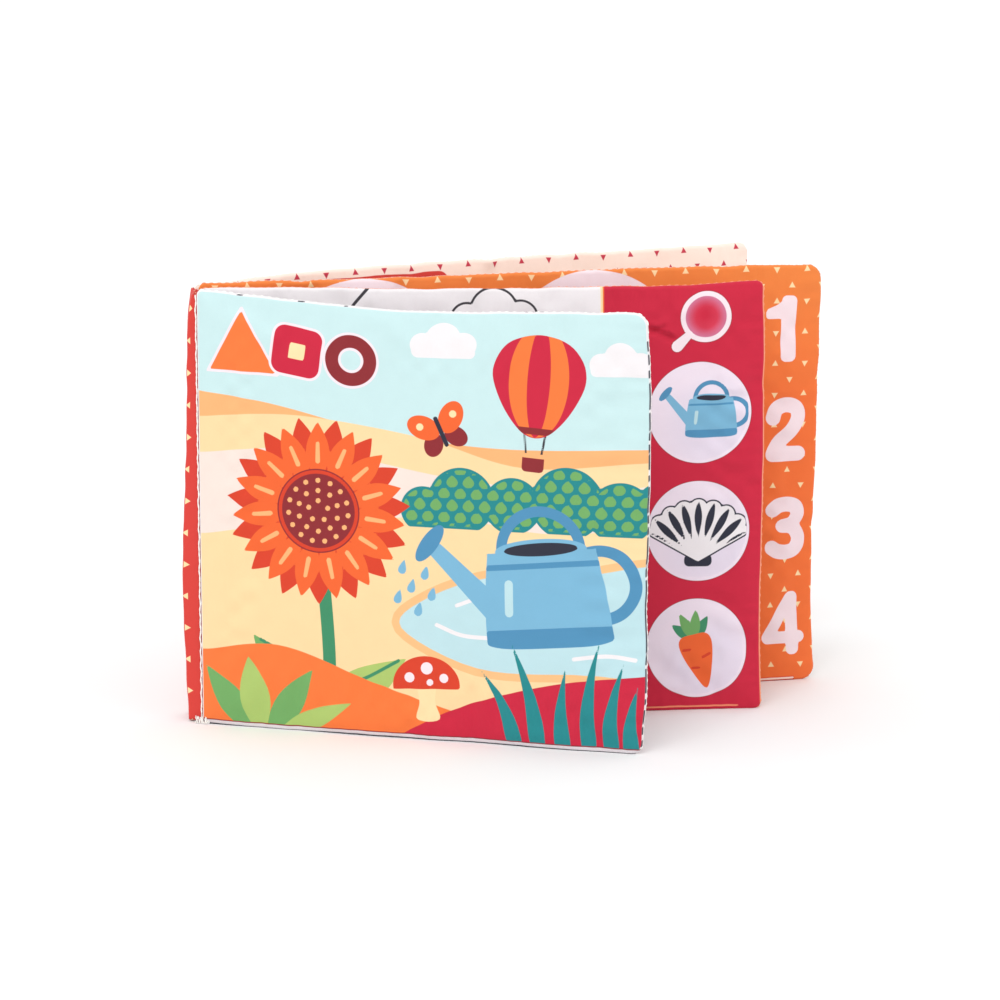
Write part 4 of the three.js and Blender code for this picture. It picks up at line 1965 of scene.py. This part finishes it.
@dataclass
class SpinePanel:
    """A strip of printed cloth that joins two leaves and bulges between them.

    Attributes:
        name: The panel's node.
        far: The leaf behind it.
        near: The leaf before it.
        half: From the hinge line to the panel's outside, across the leaves.
        bulge: From the fold's middle to the panel's outside, away from the leaves.
        leg: From the hinge line to the panel's ends.
        cloth: The cloth's thickness.
        rest: How far the fold lies in between the leaves all along.
        tuck: How far it is drawn in besides, at the top and at the foot.
        tuck_run: How fast that fades, from the top and from the foot.
        splay: How far it stands out besides, at the top and at the foot.
        belly: How far it stands out further up from the foot, where the leaves press against it.
        belly_place: Where that is and how far it reaches, as shares of the height.
        wave: How far it ripples along its height, and the ripples' length.
        rows: How many rows of points it has.
        print_shift: How far the print is moved along the cloth, so that a row shows beside the seam.
        fibres: How many loose threads hang from the foot.
        seed: What the drawn ripples start from.
    """

    name: str
    far: Leaf
    near: Leaf
    half: float = 2.45
    bulge: float = 1.3
    leg: float = 3.8
    cloth: float = 0.8
    rest: float = 0.3
    tuck: Point = (2.0, 0.3)
    tuck_run: Point = (8.0, 4.0)
    splay: Point = (0.0, 0.0)
    belly: float = 2.2
    belly_place: Point = (0.34, 0.25)
    wave: Point = (0.1, 14.0)
    rows: int = 190
    print_shift: float = 1.2
    fibres: int = 0
    seed: int = 7

    def build(self, finish: ClothFinish, thread: bpy.types.Material) -> None:
        """Makes the panel and its loose threads, and bends them between its two leaves.

        Args:
            finish: The cloth's finish.
            thread: The material of the loose threads.
        """
        joint = next(j for j in frame["joints"] if j["child"] == self.near.name)
        hinge = np.array(joint["pos_m"]) / MM
        low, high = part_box(self.name)
        rise = np.linspace(low.z, high.z, self.rows) / MM
        outer, along = self.face(rise, self.half, self.bulge)
        inner, _ = self.face(rise, self.half - self.cloth, self.bulge - self.cloth)
        rings = np.concatenate([outer, inner[:, ::-1]], 1)
        rings[..., :2] += hinge[:2]
        skin = closed_sweep(rings)
        flat = np.stack([rings[:, :along.shape[1], 2], along + self.print_shift + TRIANGLE_SHIFT], -1)
        skin.places = np.concatenate([flat, flat[:, ::-1]], 1).reshape(-1, 2)
        triangles = Layer(Ink.CREAM, kind=Print.TRIANGLES)
        material = finish.material(f"{self.name}_print", Ink.RED, [triangles], "front")
        panel = skin.dressed(f"{self.name}_cloth", material)
        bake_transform(panel)
        if self.fibres:
            self.fray(thread)
        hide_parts(self.name)
        LOG.info("%s: %d faces", panel.name, len(panel.data.polygons))

    def fray(self, thread: bpy.types.Material) -> None:
        """Loose threads that hang from the foot, beside the near leaf's sewn edge.

        Args:
            thread: Their material.
        """
        rng = np.random.default_rng(self.seed)
        spots = np.zeros((self.fibres, 3))
        spots[:, 0] = rng.uniform(-3.0, 2.4, self.fibres)
        spots[:, 1] = rng.uniform(-1.3, -0.7, self.fibres)
        loose = frayed(self.near.place.stand(spots)[:, :2], rng.uniform(-2.6, -0.5, self.fibres), rng)
        tuft = loose.dressed(f"{self.name}_loose_threads", thread)
        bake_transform(tuft)
        LOG.info("%s: %d faces", tuft.name, len(tuft.data.polygons))

    def face(self, rise: Array, half: float, bulge: float) -> tuple[Array, Array]:
        """One face of the cloth: a leg along the far leaf, half an ellipse, and a leg along the near one.

        Each point takes its share of the near leaf's turn. The fold is drawn in towards the top and the foot,
        where the spine is sewn shut, and ripples a little along its height.

        Args:
            rise: The heights of the rows.
            half: Half the ellipse's height across the leaves.
            bulge: Its reach away from them.

        Returns:
            The points about the hinge line, and how far each lies along the cloth.
        """
        far, near = (math.atan2(leaf.place.along[1], leaf.place.along[0]) for leaf in (self.far, self.near))
        angle = np.linspace(math.pi / 2, 3 * math.pi / 2, 21)
        legs = np.linspace(1, 0, 6)[:-1]
        ones = np.ones_like(legs)
        flat_y = np.concatenate([ones, np.sin(angle), -ones]) * half
        share = np.concatenate([0 * ones, np.linspace(0, 1, len(angle)), ones])
        fold = self.tuck[0] * np.exp(-(rise[-1] - rise) / self.tuck_run[0])
        fold = fold + self.tuck[1] * np.exp(-(rise - rise[0]) / self.tuck_run[1])
        share_up = rise / rise[-1]
        belly_up, belly_reach = self.belly_place
        fold = fold + self.rest - self.belly * np.exp(-((share_up - belly_up) / belly_reach) ** 2)
        fold = fold - self.splay[0] * share_up - self.splay[1] * (1 - share_up)
        height, length = self.wave
        fold = (fold + height * ripple(rise, length, np.random.default_rng(self.seed)))[:, None]
        leg = fold + (self.leg - fold) * legs
        x = np.concatenate([leg, fold + bulge * np.cos(angle), leg[:, ::-1]], 1)
        turn = far + (near - far) * share
        points = np.stack([
            x * np.cos(turn) - flat_y * np.sin(turn),
            x * np.sin(turn) + flat_y * np.cos(turn),
            np.broadcast_to(rise[:, None], x.shape),
        ], -1)
        middle = points[len(rise) // 2]
        steps = np.append(0, np.cumsum(np.linalg.norm(np.diff(middle, axis=0), axis=1)))
        return points, np.broadcast_to(steps, x.shape)


@dataclass
class Studio:
    """A pale floor, soft light from all round and a camera a little above the book.

    Attributes:
        aim: What the camera looks at, in millimetres.
        distance: How far it stands from that.
        elevation: How far it looks down, in degrees.
        lens: Its focal length for a sensor 36 mm wide.
        surround: How bright the surround is.
        lamp: How bright the lamp is.
        lamp_width: How wide it looks, in degrees.
        lamp_turn: How it is turned about each axis, in degrees.
        floor_reach: How far the floor goes each way.
        floor_grey: How light the floor is.
    """

    aim: tuple[float, float, float] = (-2.5, -27.6, 85.3)
    distance: float = 1559.0
    elevation: float = 11.43
    lens: float = 143.2
    surround: float = 1.08
    lamp: float = 0.9
    lamp_width: float = 40.0
    lamp_turn: tuple[float, float, float] = (40.0, -10.0, -8.0)
    floor_reach: float = 9000.0
    floor_grey: float = 0.86

    def build(self) -> None:
        """Sets the camera, the lights and the floor."""
        scene = bpy.context.scene
        tilt = math.radians(self.elevation)
        camera = bpy.data.objects.new("camera", bpy.data.cameras.new("camera"))
        camera.data.lens = self.lens
        camera.data.clip_end = 60.0
        eye = np.array(self.aim) + self.distance * np.array([0, -math.cos(tilt), math.sin(tilt)])
        camera.location = eye * MM
        camera.rotation_euler = (math.pi / 2 - tilt, 0, 0)
        scene.collection.objects.link(camera)
        scene.camera = camera
        scene.view_settings.view_transform = "Standard"
        self.light(scene)
        self.floor()

    def light(self, scene: bpy.types.Scene) -> None:
        """A white surround, and a broad lamp from the upper left in front.

        Args:
            scene: The scene that is lit.
        """
        world = bpy.data.worlds.new("surround")
        scene.world = world
        world.use_nodes = True
        background = world.node_tree.nodes["Background"]
        background.inputs[0].default_value = (1.0, 1.0, 1.0, 1.0)
        background.inputs[1].default_value = self.surround
        lamp = bpy.data.lights.new("softbox", "SUN")
        lamp.energy = self.lamp
        lamp.angle = math.radians(self.lamp_width)
        sun = bpy.data.objects.new("softbox", lamp)
        sun.rotation_euler = [math.radians(turn) for turn in self.lamp_turn]
        scene.collection.objects.link(sun)

    def floor(self) -> None:
        """A wide white floor."""
        corners = self.floor_reach * np.array([(-1, -1, 0), (1, -1, 0), (1, 1, 0), (-1, 1, 0)], float)
        nodes = Nodes("floor")
        grey = self.floor_grey
        nodes.shader.inputs["Base Color"].default_value = (grey, grey, grey, 1.0)
        nodes.shader.inputs["Roughness"].default_value = 0.9
        floor = Skin(corners, np.array([[0, 1, 2, 3]])).dressed("floor", nodes.material)


def main() -> None:
    """Builds the studio, the leaves and the spine."""
    logging.basicConfig(level=logging.INFO, format="%(name)s: %(message)s")
    Studio().build()
    cloth = ClothFinish()
    thread = ThreadFinish().material("sewing_thread")
    front_cover = Leaf(
        "front_cover", GardenFace(), DrawingFace(), "sky_print", 11, Ink.THREAD, step=0.85, corner=4.6,
        tops=(1.8, -1.8, -3.6, -2.3, -0.8), sides=(-0.9, 1.2, 1.0, 1.45, 1.8, 1.8, 0.2), bead_front=-0.3,
    )
    second_leaf = Leaf(
        "second_leaf", FinderFace(), DiscFace(Ink.ORANGE, Ink.CREAM), "crimson_print", 23, Ink.SALMON,
        step=0.95, corner=3.6, tops=(1.1, 0.4, -0.3, -0.7, -0.55, -0.45, 1.8),
        sides=(0.6, -0.4, 0.0, 0.35, 0.7, 0.15, -0.9),
        creases=(((173, 154), (182.5, 149.4), 1.3, 1.1), ((173, 151.8), (179.5, 154), 0.9, 1.0)),
    )
    third_leaf = Leaf(
        "third_leaf", CountingFace(), TriangleFace(Ink.PEACH, Ink.ROSE), "orange_print", 37, Ink.SALMON,
        step=1.05, corner=6.5, tops=(1.6, 1.2, 1.2, 1.3, 0.6),
        sides=(-0.5, -2.2, -2.15, -1.3, -1.0, -0.55, 0.1),
    )
    back_cover = Leaf(
        "back_cover", PanelFace(Ink.PEACH, Ink.ROSE), TriangleFace(Ink.RED, Ink.CREAM, Ink.PEACH),
        "peach_print", 53, Ink.PEACH, step=1.05, corner=4.5, tops=(-0.1, 1.7, 1.7, 0.5, 0.2),
        sides=(0.0, -0.45, -0.6, -0.45, 0.0),
    )
    for leaf in (front_cover, second_leaf, third_leaf, back_cover):
        leaf.build(cloth, thread)
    panels = (
        SpinePanel("spine_panel_front", second_leaf, front_cover, splay=(0.2, 1.7), fibres=26, seed=7),
        SpinePanel("spine_panel_middle", third_leaf, second_leaf, splay=(-0.3, 0.6), seed=8),
        SpinePanel("spine_panel_back", back_cover, third_leaf, splay=(-0.9, 0.0), seed=9),
    )
    for panel in panels:
        panel.build(cloth, thread)


if __name__ == "__main__":
    main()
